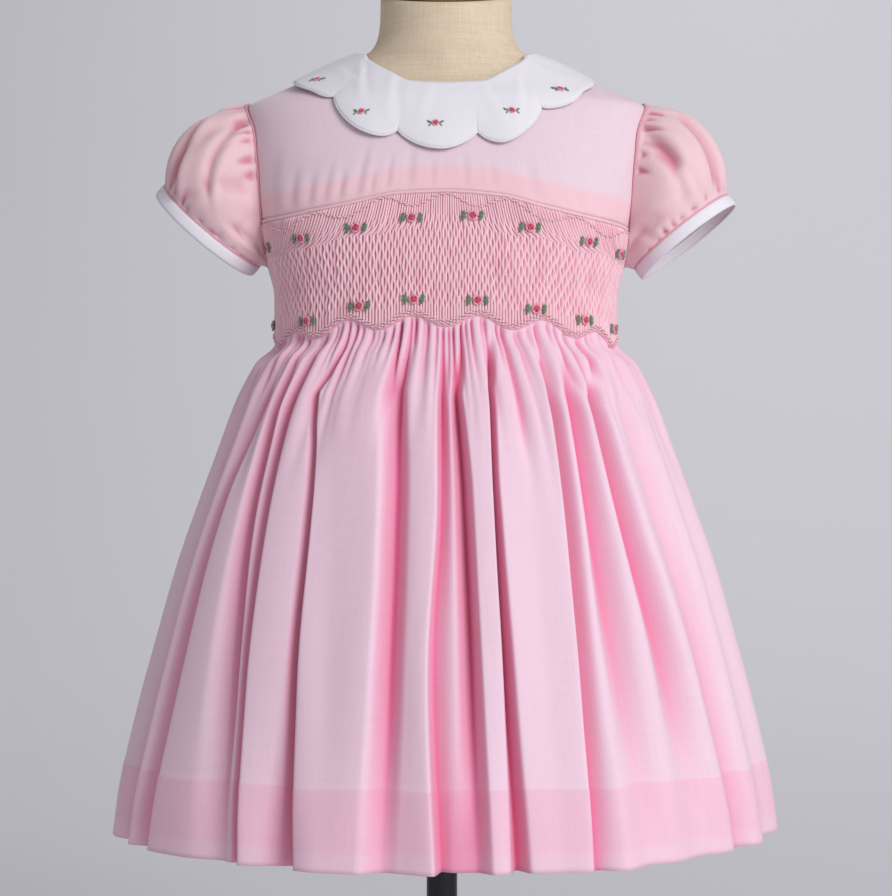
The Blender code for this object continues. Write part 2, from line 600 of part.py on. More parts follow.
def make_sleeve(name, cuff, parts, pink, white):
    """A puffed sleeve from the armhole to its cuff, and the cuff's band."""
    side = cuff["side"]
    psi = np.linspace(0, 2 * np.pi, SLEEVE_COLUMNS, endpoint=False)
    middle = (SHOULDER_TIP + UNDERARM) / 2
    reach = (SHOULDER_TIP - UNDERARM) / 2
    height = middle + reach * np.cos(psi)
    y = side * ARMHOLE_DEPTH * np.sin(psi)
    width, front, back, power = (smooth(height, [r[0] for r in BODY], [r[k] for r in BODY])
                                 for k in (1, 2, 3, 4))
    depth = np.where(y < 0, front, back)
    x = width * (1 - np.clip(np.abs(y) / depth, 0, 1) ** power) ** (1 / power)
    lower_front = np.clip((600.0 - height) / 10.0, 0, 1) * (y < 0)
    start = body(np.arctan2(y, side * x), height, CLOTH + SEAM_GAP + 0.15 + 1.0 * lower_front)
    end, across, arm, face = cuff_ring(cuff, -CUFF_WIDTH / 2 - SEAM_GAP - CLOTH / 2, psi)
    chord = np.linalg.norm(end - start, axis=1)[:, None]
    leave = np.stack([side + 0 * y, np.sin(psi) * side * SLEEVE_SPREAD, 0 * y], -1)
    round_cuff = np.cos(psi)[:, None] * across - np.sin(psi)[:, None] * side * face
    arrive = arm - SLEEVE_PUFF * round_cuff
    w = np.array(SLEEVE_ROWS)[:, None, None]
    grid = ((2 * w**3 - 3 * w**2 + 1) * start + (w**3 - 2 * w**2 + w) * chord * leave
            + (3 * w**2 - 2 * w**3) * end + (w**3 - w**2) * chord * arrive)
    # Gathers at the cap and the cuff
    parity = np.where(np.arange(SLEEVE_COLUMNS) % 2 == 0, 1.0, -1.0)
    amount = np.array(SLEEVE_GATHERS)[:, None]
    top = np.clip(0.55 + np.cos(psi), 0.15, 1.0)
    outward = grid - grid.mean(axis=1, keepdims=True)
    outward /= np.linalg.norm(outward, axis=-1, keepdims=True)
    grid = grid + outward * (amount * parity * top * np.minimum(chord[:, 0] / 30.0, 1.0))[..., None]
    cloth_panel("sleeve_" + name, grid, pink, parts, closed=True)
    rings = [cuff_ring(cuff, a, psi, 0.2)[0] for a in (-CUFF_WIDTH / 2, CUFF_WIDTH / 2)]
    cloth_panel("cuff_" + name, np.array(rings), white, parts, thick=CUFF_CLOTH, closed=True)


def make_form(parts, linen):
    """The torso: hips, chest and shoulders just inside the dress, and a neck with a slanted top."""
    columns = FORM_COLUMNS
    angle = np.linspace(0, 2 * np.pi, columns, endpoint=False) - np.pi / 2
    rings = [section(FORM_HIP, angle, row[0] + 0 * angle) for row in FORM_HIP]
    for height in FORM_ROWS:
        gap = float(smooth(height, *zip(*FORM_GAP)))
        rings.append(body(angle, height, -gap))
    rings += [section(FORM_NECK, angle, row[0] + 0 * angle) for row in FORM_NECK]
    top = np.stack([NECK_RADIUS * np.cos(angle), NECK_RADIUS * np.sin(angle), 0 * angle], -1)
    top[:, 2] = NECK_TOP_FRONT + (top[:, 1] + NECK_RADIUS) * math.tan(NECK_TILT)
    rings.append(top)
    points = np.array(rings[::-1])
    rows = len(rings)
    faces = grid_faces(rows, columns, closed=True)
    faces.append(list(range(columns)))
    faces.append([(rows - 1) * columns + c for c in reversed(range(columns))])
    place("form_torso", points, faces, linen, parts)


def disc(name, radius, thick, centre, tilt, finish, parts, bevel=1.5, sides=32):
    """A flat round plate with rounded rims, its underside's middle at centre (mm)."""
    bpy.ops.mesh.primitive_cylinder_add(vertices=sides, radius=radius * MM, depth=thick * MM,
                                        location=(0, 0, 0), rotation=(0, 0, 0))
    obj = bpy.context.object
    obj.name = name
    obj.data.name = name
    obj.location = (centre[0] * MM, (centre[1] - math.sin(tilt) * thick / 2) * MM,
                    (centre[2] + math.cos(tilt) * thick / 2) * MM)
    obj.rotation_euler = (tilt, 0, 0)
    rim = obj.modifiers.new("rim", "BEVEL")
    rim.width = bevel * MM
    rim.segments = 1
    rim.limit_method = "ANGLE"
    obj.data.materials.append(finish)
    for c in list(obj.users_collection):
        c.objects.unlink(obj)
    parts.objects.link(obj)


def make_stand(parts, steel, wood):
    """Round base, pole and the wooden cap on the neck."""
    disc("base", BASE_RADIUS, BASE_THICK, (POLE_X, 0, 0), 0.0, steel, parts, bevel=2.0)
    length = FORM_HIP[0][0] - BASE_THICK - 2 * SEAM_GAP
    disc("pole", POLE_RADIUS, length, (POLE_X, 0, BASE_THICK + SEAM_GAP), 0.0, steel, parts,
         bevel=0.5, sides=24)
    middle_height = NECK_TOP_FRONT + NECK_RADIUS * math.tan(NECK_TILT)
    disc("neck_cap", NECK_RADIUS + 1.0, CAP_THICK,
         (0, -math.sin(NECK_TILT) * SEAM_GAP, middle_height + math.cos(NECK_TILT) * SEAM_GAP),
         NECK_TILT, wood, parts, bevel=2.0)


def make_buttons(parts, pearl):
    """Plain buttons down the back opening, each flat on the lapped edge."""
    for number, height in enumerate(BUTTON_HEIGHTS, 1):
        out = CLOTH + LAP_LIFT + BUTTON_SEAT
        spot = body(np.array(np.pi / 2), np.array(height), out)
        above = body(np.array(np.pi / 2), np.array(height + 2.0), out)
        rise = above - spot
        lean = math.atan2(rise[1], rise[2])
        bpy.ops.mesh.primitive_cylinder_add(vertices=14, radius=BUTTON_RADIUS * MM, depth=BUTTON_THICK * MM)
        obj = bpy.context.object
        obj.name = "button_%d" % number
        obj.data.name = obj.name
        away = np.array([0.0, math.cos(lean), -math.sin(lean)])
        obj.location = tuple((spot + away * BUTTON_THICK / 2) * MM)
        obj.rotation_euler = (-math.pi / 2 - lean, 0, 0)
        rim = obj.modifiers.new("rim", "BEVEL")
        rim.width = 0.4 * MM
        rim.segments = 1
        rim.limit_method = "ANGLE"
        obj.data.materials.append(pearl)
        for c in list(obj.users_collection):
            c.objects.unlink(obj)
        parts.objects.link(obj)


def main():
    for obj in list(bpy.data.objects):
        bpy.data.objects.remove(obj, do_unlink=True)
    parts = bpy.data.collections.new("smocked_dress_on_form")
    bpy.context.scene.collection.children.link(parts)
    pink = material("pink_batiste", (0.84, 0.56, 0.65), 0.85)
    smocked = material("pink_smocking", (0.82, 0.48, 0.56), 0.85)
    white = material("white_batiste", (0.88, 0.87, 0.9), 0.8)
    linen = material("linen", (0.72, 0.6, 0.45), 0.9)
    steel = material("dark_steel", (0.12, 0.12, 0.13), 0.35, 1.0)
    wood = material("wood", (0.35, 0.2, 0.1), 0.5)
    pearl = material("pearl", (0.88, 0.84, 0.84), 0.3)
    make_yoke(parts, pink)
    make_piping(parts, pink)
    make_smocking(parts, smocked)
    make_backs(parts, pink)
    make_skirt(parts, pink)
    make_collar(parts, white)
    for name, cuff in CUFFS.items():
        make_sleeve(name, cuff, parts, pink, white)
    make_form(parts, linen)
    make_stand(parts, steel, wood)
    make_buttons(parts, pearl)


main()
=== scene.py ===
# %% [markdown]
# A child's smocked dress on a limbless dress form.
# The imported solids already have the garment's true pieces and sizes. This lesson gives each piece its
# finished cloth: fine reeds and diamonds on the smocked front, soft folds in the skirt, gathers in the
# sleeves, embroidered roses, and a procedural material for every surface. Tables are in millimetres and
# degrees, and the meshes are in metres.

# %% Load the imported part
import math

import bpy
import numpy as np
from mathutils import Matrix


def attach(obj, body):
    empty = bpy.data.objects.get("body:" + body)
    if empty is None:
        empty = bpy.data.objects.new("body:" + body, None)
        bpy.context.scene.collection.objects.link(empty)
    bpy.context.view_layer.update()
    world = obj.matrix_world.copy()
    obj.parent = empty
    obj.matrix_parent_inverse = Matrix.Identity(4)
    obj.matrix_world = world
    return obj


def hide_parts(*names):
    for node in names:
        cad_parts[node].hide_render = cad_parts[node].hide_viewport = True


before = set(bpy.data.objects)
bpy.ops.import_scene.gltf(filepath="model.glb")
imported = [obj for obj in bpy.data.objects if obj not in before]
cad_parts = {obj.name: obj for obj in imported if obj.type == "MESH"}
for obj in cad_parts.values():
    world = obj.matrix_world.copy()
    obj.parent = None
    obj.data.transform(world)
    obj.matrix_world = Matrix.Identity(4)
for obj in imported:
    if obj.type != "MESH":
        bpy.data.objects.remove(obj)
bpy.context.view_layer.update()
MM = 0.001
print("packed nodes:", len(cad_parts))

# %% [markdown]
# The camera stands level with the middle of the dress, a metre and a half in front of it, with a long
# lens, as for a catalogue photograph. The longer side of the picture is 36 mm of the sensor.

# %% Camera
CAMERA_DISTANCE = 1.5
CAMERA_HEIGHT = 0.453
CAMERA_LENS = 97.2

camera_data = bpy.data.cameras.new("camera")
camera_data.lens = CAMERA_LENS
camera_data.sensor_width = 36.0
camera = bpy.data.objects.new("camera", camera_data)
camera.location = (0.0, -CAMERA_DISTANCE, CAMERA_HEIGHT)
camera.rotation_euler = (math.pi / 2, 0.0, 0.0)
bpy.context.scene.collection.objects.link(camera)
bpy.context.scene.camera = camera
bpy.context.scene.view_settings.view_transform = "Standard"
print("camera at", tuple(camera.location))

# %% [markdown]
# The dress hangs on a body whose sections are superellipses. The same table that shaped the solids is
# repeated here, so that every finer surface lies on its solid's form. A monotone cubic runs through a
# column of a table without overshooting.

# %% Sections of the bodice, skirt and form
CLOTH = 1.2
SEAM_GAP = 0.3
HEM_HEIGHT = 220.0
SHOULDER_TIP = 664.3
NECK_SIDE = 695.0
UNDERARM = 566.0
WAIST_SIDE = 516.5
ARMHOLE_DEPTH = 30.0
SEAM_HALF = 0.35
BODY = np.array((
    # height, width, front, back, roundness
    (500.0, 104.0, 76.5, 70.0, 2.35),
    (545.0, 103.5, 76.0, 70.0, 2.35),
    (565.0, 107.5, 75.5, 70.0, 2.40),
    (583.0, 112.0, 74.0, 70.0, 2.50),
    (603.0, 116.5, 71.0, 69.0, 2.60),
    (628.0, 120.0, 64.0, 66.0, 2.60),
    (648.0, 122.0, 57.0, 62.0, 2.40),
    (659.0, 123.6, 52.5, 59.0, 2.20),
    (662.5, 123.0, 51.0, 58.0, 2.10),
    (664.3, 121.2, 50.0, 57.5, 2.05),
    (666.0, 117.6, 49.0, 56.5, 2.00),
    (673.0, 101.8, 45.5, 53.0, 1.80),
    (684.0, 77.3, 43.0, 48.5, 1.60),
    (691.0, 61.8, 42.4, 46.5, 1.60),
    (695.0, 53.0, 42.0, 45.5, 1.90),
))
SKIRT = np.array((
    (220.0, 201.5, 176.0, 166.0, 2.00),
    (247.0, 198.0, 170.0, 161.0, 2.00),
    (297.0, 187.0, 156.0, 149.0, 2.00),
    (334.0, 177.0, 146.0, 140.0, 2.02),
    (384.0, 162.7, 130.0, 126.0, 2.08),
    (421.0, 149.8, 119.0, 115.0, 2.12),
    (458.0, 136.2, 107.0, 104.0, 2.18),
    (483.0, 127.4, 98.0, 95.0, 2.22),
    (495.0, 121.9, 92.0, 89.0, 2.25),
    (507.0, 115.3, 85.5, 82.0, 2.30),
    (518.0, 107.6, 79.8, 74.0, 2.35),
    (535.0, 105.2, 77.7, 71.5, 2.35),
))
FORM_HIP = np.array((
    (380.0, 88.0, 62.0, 66.0, 2.20),
    (384.0, 94.0, 67.0, 72.0, 2.20),
    (400.0, 99.0, 70.0, 77.0, 2.25),
    (435.0, 101.0, 71.0, 78.0, 2.30),
    (470.0, 98.0, 69.0, 72.0, 2.30),
    (500.0, 97.0, 69.0, 65.0, 2.35),
))
FORM_NECK = np.array((
    (697.0, 48.0, 41.6, 44.0, 2.00),
    (699.0, 46.0, 41.4, 43.2, 2.00),
    (703.0, 43.6, 41.0, 42.2, 2.00),
    (709.0, 41.7, 40.8, 41.4, 2.00),
    (716.0, 40.8, 40.6, 40.8, 2.00),
))
FORM_GAP = ((500.0, 5.0), (600.0, 3.0), (648.0, 1.9), (668.0, 1.8), (682.0, 1.0), (700.0, 0.9))


def smooth(x, xs, ys):
    """Monotone cubic through (xs, ys): each inner slope is the harmonic mean of its two spans' slopes."""
    xs, ys = np.asarray(xs, float), np.asarray(ys, float)
    span = np.diff(xs)
    rise = np.diff(ys) / span
    slope = np.zeros(len(xs))
    slope[0], slope[-1] = rise[0], rise[-1]
    left, right = rise[:-1], rise[1:]
    same = left * right > 0
    slope[1:-1][same] = 2 * left[same] * right[same] / (left[same] + right[same])
    i = np.clip(np.searchsorted(xs, x) - 1, 0, len(xs) - 2)
    t = np.clip((np.asarray(x, float) - xs[i]) / span[i], 0, 1)
    low = (2 * t**3 - 3 * t**2 + 1) * ys[i] + (t**3 - 2 * t**2 + t) * span[i] * slope[i]
    high = (3 * t**2 - 2 * t**3) * ys[i + 1] + (t**3 - t**2) * span[i] * slope[i + 1]
    return low + high


def through(table, x):
    """Monotone cubic through a table of (place, value) rows."""
    return smooth(x, *np.array(table, float).T)


def section(table, angle, height):
    """Superellipse point: |x/width|^p + |y/depth|^p = 1, with front or back depth by the side of the body."""
    width, front, back, power = (smooth(height, table[:, 0], table[:, k]) for k in (1, 2, 3, 4))
    depth = np.where(np.sin(angle) < 0, front, back)
    c, s = np.cos(angle), np.sin(angle)
    radius = ((np.abs(c) / width) ** power + (np.abs(s) / depth) ** power) ** (-1 / power)
    return np.stack([radius * c, radius * s, height + 0 * radius], -1)


def unit(vectors):
    """Vectors divided by their lengths."""
    return vectors / np.maximum(np.linalg.norm(vectors, axis=-1, keepdims=True), 1e-12)


def body(angle, height, out):
    """The bodice's inside at an angle and height, moved along its outward normal by out."""
    angle, height, out = np.broadcast_arrays(np.asarray(angle, float), np.asarray(height, float), out)
    round_it = section(BODY, angle + 1e-3, height) - section(BODY, angle - 1e-3, height)
    up_it = section(BODY, angle, height + 0.2) - section(BODY, angle, height - 0.2)
    return section(BODY, angle, height) + unit(np.cross(round_it, up_it)) * out[..., None]


def from_front(degrees):
    """Radians from +X for degrees counted from the front centre, + to the picture's right."""
    return np.radians(np.asarray(degrees, float) - 90.0)


def ease(x, low, high):
    """0 below low, 1 above high, and a smooth step between them."""
    t = np.clip((np.asarray(x, float) - low) / (high - low), 0, 1)
    return t * t * (3 - 2 * t)


def bell(gap, width):
    """A bell curve, 1 in the middle, that falls to 0.37 a width away."""
    return np.exp(-((gap / width) ** 2))


print("bodice sections:", len(BODY), "skirt sections:", len(SKIRT))

# %% [markdown]
# Every cloth piece is a thin shell: a grid of points for the middle of the cloth, and two skins half its
# thickness away on each side, joined round the rim. Rows go down the garment and columns run
# counter-clockwise seen from above, so the first skin faces outwards. The piece also gets a UV map in
# metres of cloth, and named values at its points, which the materials read.

# %% Grids, shells and tubes
BUILT = []


def build(name, points, faces, finish, uv=None, values=None):
    """A mesh from points in mm and an array of faces with equal numbers of corners."""
    mesh = bpy.data.meshes.new(name)
    mesh.vertices.add(len(points))
    mesh.vertices.foreach_set("co", (np.asarray(points) * MM).astype(np.float32).ravel())
    mesh.loops.add(faces.size)
    mesh.loops.foreach_set("vertex_index", faces.astype(np.int32).ravel())
    mesh.polygons.add(len(faces))
    mesh.polygons.foreach_set("loop_start", np.arange(0, faces.size, faces.shape[1], dtype=np.int32))
    mesh.update(calc_edges=True)
    layer = mesh.uv_layers.new(name="cloth")
    if uv is None:
        uv = (np.asarray(points)[:, [0, 2]] * MM)[faces.ravel()]
    layer.data.foreach_set("uv", uv.astype(np.float32).ravel())
    for label, value in (values or {}).items():
        attribute = mesh.attributes.new(label, "FLOAT", "POINT")
        attribute.data.foreach_set("value", np.asarray(value, np.float32).ravel())
    mesh.validate()
    mesh.shade_smooth()
    mesh.materials.append(finish)
    piece = bpy.data.objects.new(name, mesh)
    bpy.context.scene.collection.objects.link(piece)
    BUILT.append((name, len(faces) * (faces.shape[1] - 2)))
    return piece


def quads(rows, columns, closed=False):
    """Corner numbers of a grid's quads, and the row and column steps of each corner."""
    r, c = np.meshgrid(np.arange(rows - 1), np.arange(columns if closed else columns - 1), indexing="ij")
    r, c = r.ravel(), c.ravel()
    row = np.stack([r, r + 1, r + 1, r], -1)
    column = np.stack([c, c, c + 1, c + 1], -1)
    return row * columns + column % columns, row, column


def wall_triangles(rows, columns):
    """Triangles of a grid that closes round on itself."""
    wall = quads(rows, columns, closed=True)[0]
    return np.concatenate([wall[:, [0, 1, 2]], wall[:, [0, 2, 3]]])


def capped(rows, columns):
    """The same, with a flat fan over the first ring and over the last."""
    k = np.arange(1, columns - 1)
    fans = [np.stack([0 * k, k, k + 1], -1), np.stack([0 * k, k + 1, k], -1) + (rows - 1) * columns]
    return np.concatenate([wall_triangles(rows, columns), *fans])


def normals(points, closed=False):
    """Unit normals of a grid: its step down crossed with its step across."""
    across = np.gradient(points, axis=1)
    if closed:
        across = np.roll(points, -1, 1) - np.roll(points, 1, 1)
    return unit(np.cross(np.gradient(points, axis=0), across))


def shell(name, middle, thick, finish, closed=False, values=None):
    """A thin closed sheet round a grid: outer and inner skins half the thickness away, and a rim."""
    rows, columns = middle.shape[:2]
    out = normals(middle, closed) * (thick / 2)
    points = np.concatenate([(middle + out).reshape(-1, 3), (middle - out).reshape(-1, 3)])
    skin, row, column = quads(rows, columns, closed)
    step = rows * columns
    c = np.arange(columns if closed else columns - 1)
    n, last_row = (c + 1) % columns, (rows - 1) * columns
    level = np.zeros((len(c), 4), int)
    rims = [np.stack([c, n, n + step, c + step], -1), np.stack([n, c, c + step, n + step], -1) + last_row]
    rim_rows = [level, level + rows - 1]
    rim_columns = [np.stack([c, c + 1, c + 1, c], -1), np.stack([c + 1, c, c, c + 1], -1)]
    if not closed:
        r, last = np.arange(rows - 1), columns - 1
        a, b = r * columns, (r + 1) * columns
        upright = np.zeros((len(r), 4), int)
        rims += [np.stack([b, a, a + step, b + step], -1), np.stack([a, b, b + step, a + step], -1) + last]
        rim_rows += [np.stack([r + 1, r, r, r + 1], -1), np.stack([r, r + 1, r + 1, r], -1)]
        rim_columns += [upright, upright + last]
    faces = np.concatenate([skin, skin[:, ::-1] + step, *rims])
    all_rows = np.concatenate([row, row[:, ::-1], *rim_rows])
    all_columns = np.concatenate([column, column[:, ::-1], *rim_columns])
    wide = np.linalg.norm(np.diff(middle, axis=1), axis=-1).sum(1).max() * MM
    tall = np.linalg.norm(np.diff(middle, axis=0), axis=-1).sum(0).mean() * MM
    uv = np.stack([all_columns * wide / (columns - 1), all_rows * tall / (rows - 1)], -1)
    twice = {}
    for label, value in (values or {}).items():
        twice[label] = np.tile(np.broadcast_to(value, (rows, columns)).ravel(), 2)
    return build(name, points, faces, finish, uv.reshape(-1, 2), twice)


def sheet_area(points, closed=False):
    """Area in square metres of a grid's middle surface."""
    grid = np.concatenate([points, points[:, :1]], 1) if closed else points
    a, b, c, d = grid[:-1, :-1], grid[1:, :-1], grid[1:, 1:], grid[:-1, 1:]
    halves = [np.linalg.norm(np.cross(p - a, q - a), axis=-1).sum() / 2 for p, q in ((b, c), (c, d))]
    return float(sum(halves)) * MM * MM


def tube(path, radius, up, sides=6):
    """A round tube along a path, closed by a point at each end: rings across the path's direction."""
    path = np.asarray(path, float)
    radius = np.broadcast_to(np.asarray(radius, float), len(path))
    along = unit(np.gradient(path, axis=0))
    side = unit(np.cross(along, up))
    lift = np.cross(side, along)
    turn = np.linspace(0, 2 * np.pi, sides, endpoint=False)
    ring = np.cos(turn)[None, :, None] * side[:, None] + np.sin(turn)[None, :, None] * lift[:, None]
    rings = path[:, None] + radius[:, None, None] * ring
    points = np.concatenate([rings.reshape(-1, 3), path[:1], path[-1:]])
    n = len(path)
    i, k = np.meshgrid(np.arange(n - 1), np.arange(sides), indexing="ij")
    i, k = i.ravel(), k.ravel()
    m = (k + 1) % sides
    a, b, c, d = i * sides + k, (i + 1) * sides + k, (i + 1) * sides + m, i * sides + m
    k = np.arange(sides)
    m = (k + 1) % sides
    first = np.stack([k, m, 0 * k + n * sides], -1)
    end = np.stack([m + (n - 1) * sides, k + (n - 1) * sides, 0 * k + n * sides + 1], -1)
    return points, np.concatenate([np.stack([a, b, c], -1), np.stack([a, c, d], -1), first, end])


def joined(shapes):
    """Several (points, faces) as one."""
    starts = np.cumsum([0] + [len(p) for p, f in shapes[:-1]])
    faces = [f + start for (p, f), start in zip(shapes, starts)]
    return np.concatenate([p for p, f in shapes]), np.concatenate(faces)


def spot(degrees, height, out):
    """A place on the bodice with unit vectors across to the right, up and outwards."""
    angle = from_front(degrees)
    here = body(angle, height, out)
    across = unit(body(angle + 0.01, height, out) - body(angle - 0.01, height, out))
    up = unit(body(angle, height + 1.0, out) - body(angle, height - 1.0, out))
    return here, across, up, unit(np.cross(across, up))


def finish_piece(piece, *nodes, slot=None):
    """The piece rides on the one body and stands for its solids; the slot argument is not used."""
    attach(piece, "root")
    if nodes:
        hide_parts(*nodes)
    return piece


def cord(name, path, radius, up, sides, finish, *nodes, slot=None, **values):
    """A finished tube along a path, with each named value the same at all of its points."""
    points, faces = tube(path, radius, np.array(up, float), sides)
    steady = {label: np.full(len(points), value) for label, value in values.items()}
    return finish_piece(build(name, points, faces, finish, values=steady), *nodes, slot=slot)


print("helpers ready")

# %% [markdown]
# The dress is a fine batiste with coloured warp and white weft, so its pink is broken by thin streaks both
# ways. Inside a fold the light has passed through pink cloth more than once, which leaves it deep and
# saturated, and here that fold shade is painted into the colour. A value at each point says how deep in a
# fold it is, and the material runs from the open colour to a painted fold-shade colour.

# %% Material helpers
class Finish:
    """A new material with its shader, and short ways to add nodes to it."""

    def __init__(self, name):
        self.material = bpy.data.materials.new(name)
        self.material.use_nodes = True
        self.tree = self.material.node_tree
        self.shader = self.tree.nodes["Principled BSDF"]

    def add(self, kind, **settings):
        """A node of a kind with its settings."""
        node = self.tree.nodes.new(kind)
        for key, value in settings.items():
            setattr(node, key, value)
        return node

    def feed(self, socket, value):
        """Link an output to a socket, or set the socket's own number or colour."""
        if isinstance(value, bpy.types.NodeSocket):
            self.tree.links.new(value, socket)
        else:
            socket.default_value = (*value, 1.0) if socket.type == "RGBA" else value

    def place(self):
        """Where a point lies on the object, in metres."""
        return self.add("ShaderNodeTexCoord").outputs["Object"]

    def kept(self, label):
        """A value that the mesh keeps at its points."""
        return self.add("ShaderNodeAttribute", attribute_name=label).outputs["Fac"]

    def noise(self, source, scale, stretch=(1, 1, 1), detail=2.0, roughness=0.5):
        """Noise on a coordinate, drawn out by a stretch along each axis."""
        mapping = self.add("ShaderNodeMapping")
        self.feed(mapping.inputs["Vector"], source)
        self.feed(mapping.inputs["Scale"], stretch)
        noise = self.add("ShaderNodeTexNoise")
        for label, value in (("Vector", mapping.outputs["Vector"]), ("Scale", scale), ("Detail", detail),
                             ("Roughness", roughness)):
            self.feed(noise.inputs[label], value)
        return noise.outputs["Fac"]

    def maths(self, operation, a, b):
        """One operation on two outputs or numbers."""
        node = self.add("ShaderNodeMath", operation=operation)
        self.feed(node.inputs[0], a)
        self.feed(node.inputs[1], b)
        return node.outputs[0]

    def blend(self, factor, a, b, how="MIX"):
        """Two colours or outputs blended by a factor."""
        node = self.add("ShaderNodeMix", data_type="RGBA", blend_type=how)
        for number, value in ((0, factor), (6, a), (7, b)):
            self.feed(node.inputs[number], value)
        return node.outputs[2]

    def spread(self, value, low, high):
        """Noise, which mostly lies in 0.3 to 0.7, spread over low to high."""
        node = self.add("ShaderNodeMapRange")
        for label, number in (("Value", value), ("From Min", 0.3), ("From Max", 0.7), ("To Min", low),
                              ("To Max", high)):
            self.feed(node.inputs[label], number)
        return node.outputs["Result"]

    def bump(self, height, strength, distance):
        """A normal tilted by a height, whose full step is a distance in metres."""
        node = self.add("ShaderNodeBump")
        for label, value in (("Height", height), ("Strength", strength), ("Distance", distance)):
            self.feed(node.inputs[label], value)
        return node.outputs["Normal"]

    def settle(self, values):
        """Give the shader its outputs and numbers, and hand over the material."""
        for label, value in values.items():
            self.feed(self.shader.inputs[label], value)
        return self.material


ACROSS_THREAD, ALONG_THREAD = 1300.0, 45.0
SLUB = (60.0, 22.0, 1.0)
WARP_SHARE, WEFT_SHARE, SLUB_SHARE = 0.45, 0.35, 0.2
BATISTE_ROUGH, BATISTE_ROUGH_RANGE = 0.85, 0.06


def batiste(name, light, deep, band=None, streaks=0.05, sheen=0.25):
    """Fine woven cotton: streaks along both threads, painted shade in folds, a band of doubled cloth."""
    f = Finish(name)
    uv = f.add("ShaderNodeUVMap", uv_map="cloth").outputs["UV"]
    warp = f.noise(uv, 1.0, (ACROSS_THREAD, ALONG_THREAD, 1.0))
    weft = f.noise(uv, 1.0, (ALONG_THREAD, ACROSS_THREAD, 1.0))
    slub = f.noise(uv, 1.0, SLUB, 3.0)
    crossing = f.maths("ADD", f.maths("MULTIPLY", weft, WEFT_SHARE), f.maths("MULTIPLY", slub, SLUB_SHARE))
    threads = f.maths("ADD", f.maths("MULTIPLY", warp, WARP_SHARE), crossing)
    brightness = f.spread(threads, 1.0 - streaks, 1.0 + streaks)
    grey = f.add("ShaderNodeCombineXYZ")
    for axis in "XYZ":
        f.feed(grey.inputs[axis], brightness)
    colour = f.blend(f.kept("doubled"), light, band) if band else light
    # Painted fold shade: the colour runs to the deep colour where the value deep says light is shut out.
    colour = f.blend(f.kept("deep"), colour, deep)
    rough = f.spread(slub, BATISTE_ROUGH - BATISTE_ROUGH_RANGE, BATISTE_ROUGH + BATISTE_ROUGH_RANGE)
    return f.settle({"Base Color": f.blend(1.0, colour, grey.outputs[0], "MULTIPLY"), "Roughness": rough,
                     "Normal": f.bump(threads, 0.25, 0.0003), "Sheen Weight": sheen, "Sheen Roughness": 0.45,
                     "Specular IOR Level": 0.2})


def thread(name, colour, shade):
    """Stranded cotton: fine and coarser noise for its strands and plies, and a soft gloss."""
    f = Finish(name)
    fine = f.noise(f.place(), 2200.0)
    ply = f.noise(f.place(), 700.0, (1, 1, 2), 1.0)
    both = f.maths("MULTIPLY", f.maths("ADD", fine, ply), 0.5)
    return f.settle({"Base Color": f.blend(f.spread(both, 0.0, 1.0), shade, colour),
                     "Roughness": f.spread(fine, 0.45, 0.65), "Normal": f.bump(both, 0.35, 0.0002),
                     "Sheen Weight": 0.15})


print("material helpers ready")


# %% Cloth and thread materials
# Each cloth's second colour is painted fold shade: the deep pink of light caught in folds.
PINK_OPEN = (0.89, 0.64, 0.76)
PINK_PAINTED_FOLD_SHADE = (0.80, 0.165, 0.335)
pink_skirt = batiste("pink_batiste_skirt", PINK_OPEN, PINK_PAINTED_FOLD_SHADE, band=(0.90, 0.56, 0.70))
pink_yoke = batiste("pink_batiste_yoke", (0.81, 0.635, 0.71), (0.66, 0.25, 0.36), band=(0.87, 0.575, 0.64))
pink_sleeve = batiste("pink_batiste_sleeve", (0.84, 0.58, 0.625), (0.66, 0.25, 0.33), band=(0.80, 0.45, 0.52))
pink_smocked = batiste("pink_smocked_batiste", (0.93, 0.64, 0.71), (0.74, 0.20, 0.31), streaks=0.03)
white_cloth = batiste("white_batiste_cloth", (0.81, 0.79, 0.85), (0.62, 0.60, 0.68), streaks=0.02, sheen=0.15)
rose_deep = thread("rose_thread", (0.72, 0.10, 0.20), (0.50, 0.05, 0.12))
rose_pale = thread("pale_rose_thread", (0.88, 0.42, 0.50), (0.76, 0.30, 0.40))
leaf_green = thread("leaf_thread", (0.20, 0.35, 0.21), (0.09, 0.18, 0.10))
pink_thread = thread("pink_thread", (0.92, 0.66, 0.70), (0.80, 0.46, 0.53))
white_thread = thread("white_thread", (0.86, 0.85, 0.88), (0.72, 0.71, 0.76))
print("materials:", len(bpy.data.materials))

# %% [markdown]
# A fold is a place where the cloth shuts out the light from one or both sides. Along each row, this
# measures how high the neighbouring cloth stands above each point, to the left and to the right. What is
# left of the half circle between the two is how open the point is.

# %% How open each point is
def closed_in(points, reach, closed=False, step=1):
    """Share of the light that neighbouring cloth shuts out along each row, 0 open to 1 shut in."""
    facing = normals(points, closed)
    highest = []
    for direction in (1, -1):
        best = np.zeros(points.shape[:2])
        for k in range(step, reach * step + 1, step):
            other = np.roll(points, direction * k, axis=1)
            away = other - points
            height = (away * facing).sum(-1) / np.maximum(np.linalg.norm(away, axis=-1), 1e-6)
            if not closed:
                lost = slice(0, k) if direction == 1 else slice(points.shape[1] - k, None)
                height[:, lost] = 0.0
            best = np.maximum(best, height)
        highest.append(best)
    return np.clip((highest[0] + highest[1]) / 2, 0, 1)


def softened(values, passes=2):
    """Values averaged with their neighbours in both directions."""
    for _ in range(passes):
        padded = np.pad(values, 1, mode="edge")
        around = padded[:-2, 1:-1] + padded[2:, 1:-1] + padded[1:-1, :-2] + padded[1:-1, 2:]
        values = around / 8 + values / 2
    return values


print("fold depth ready")
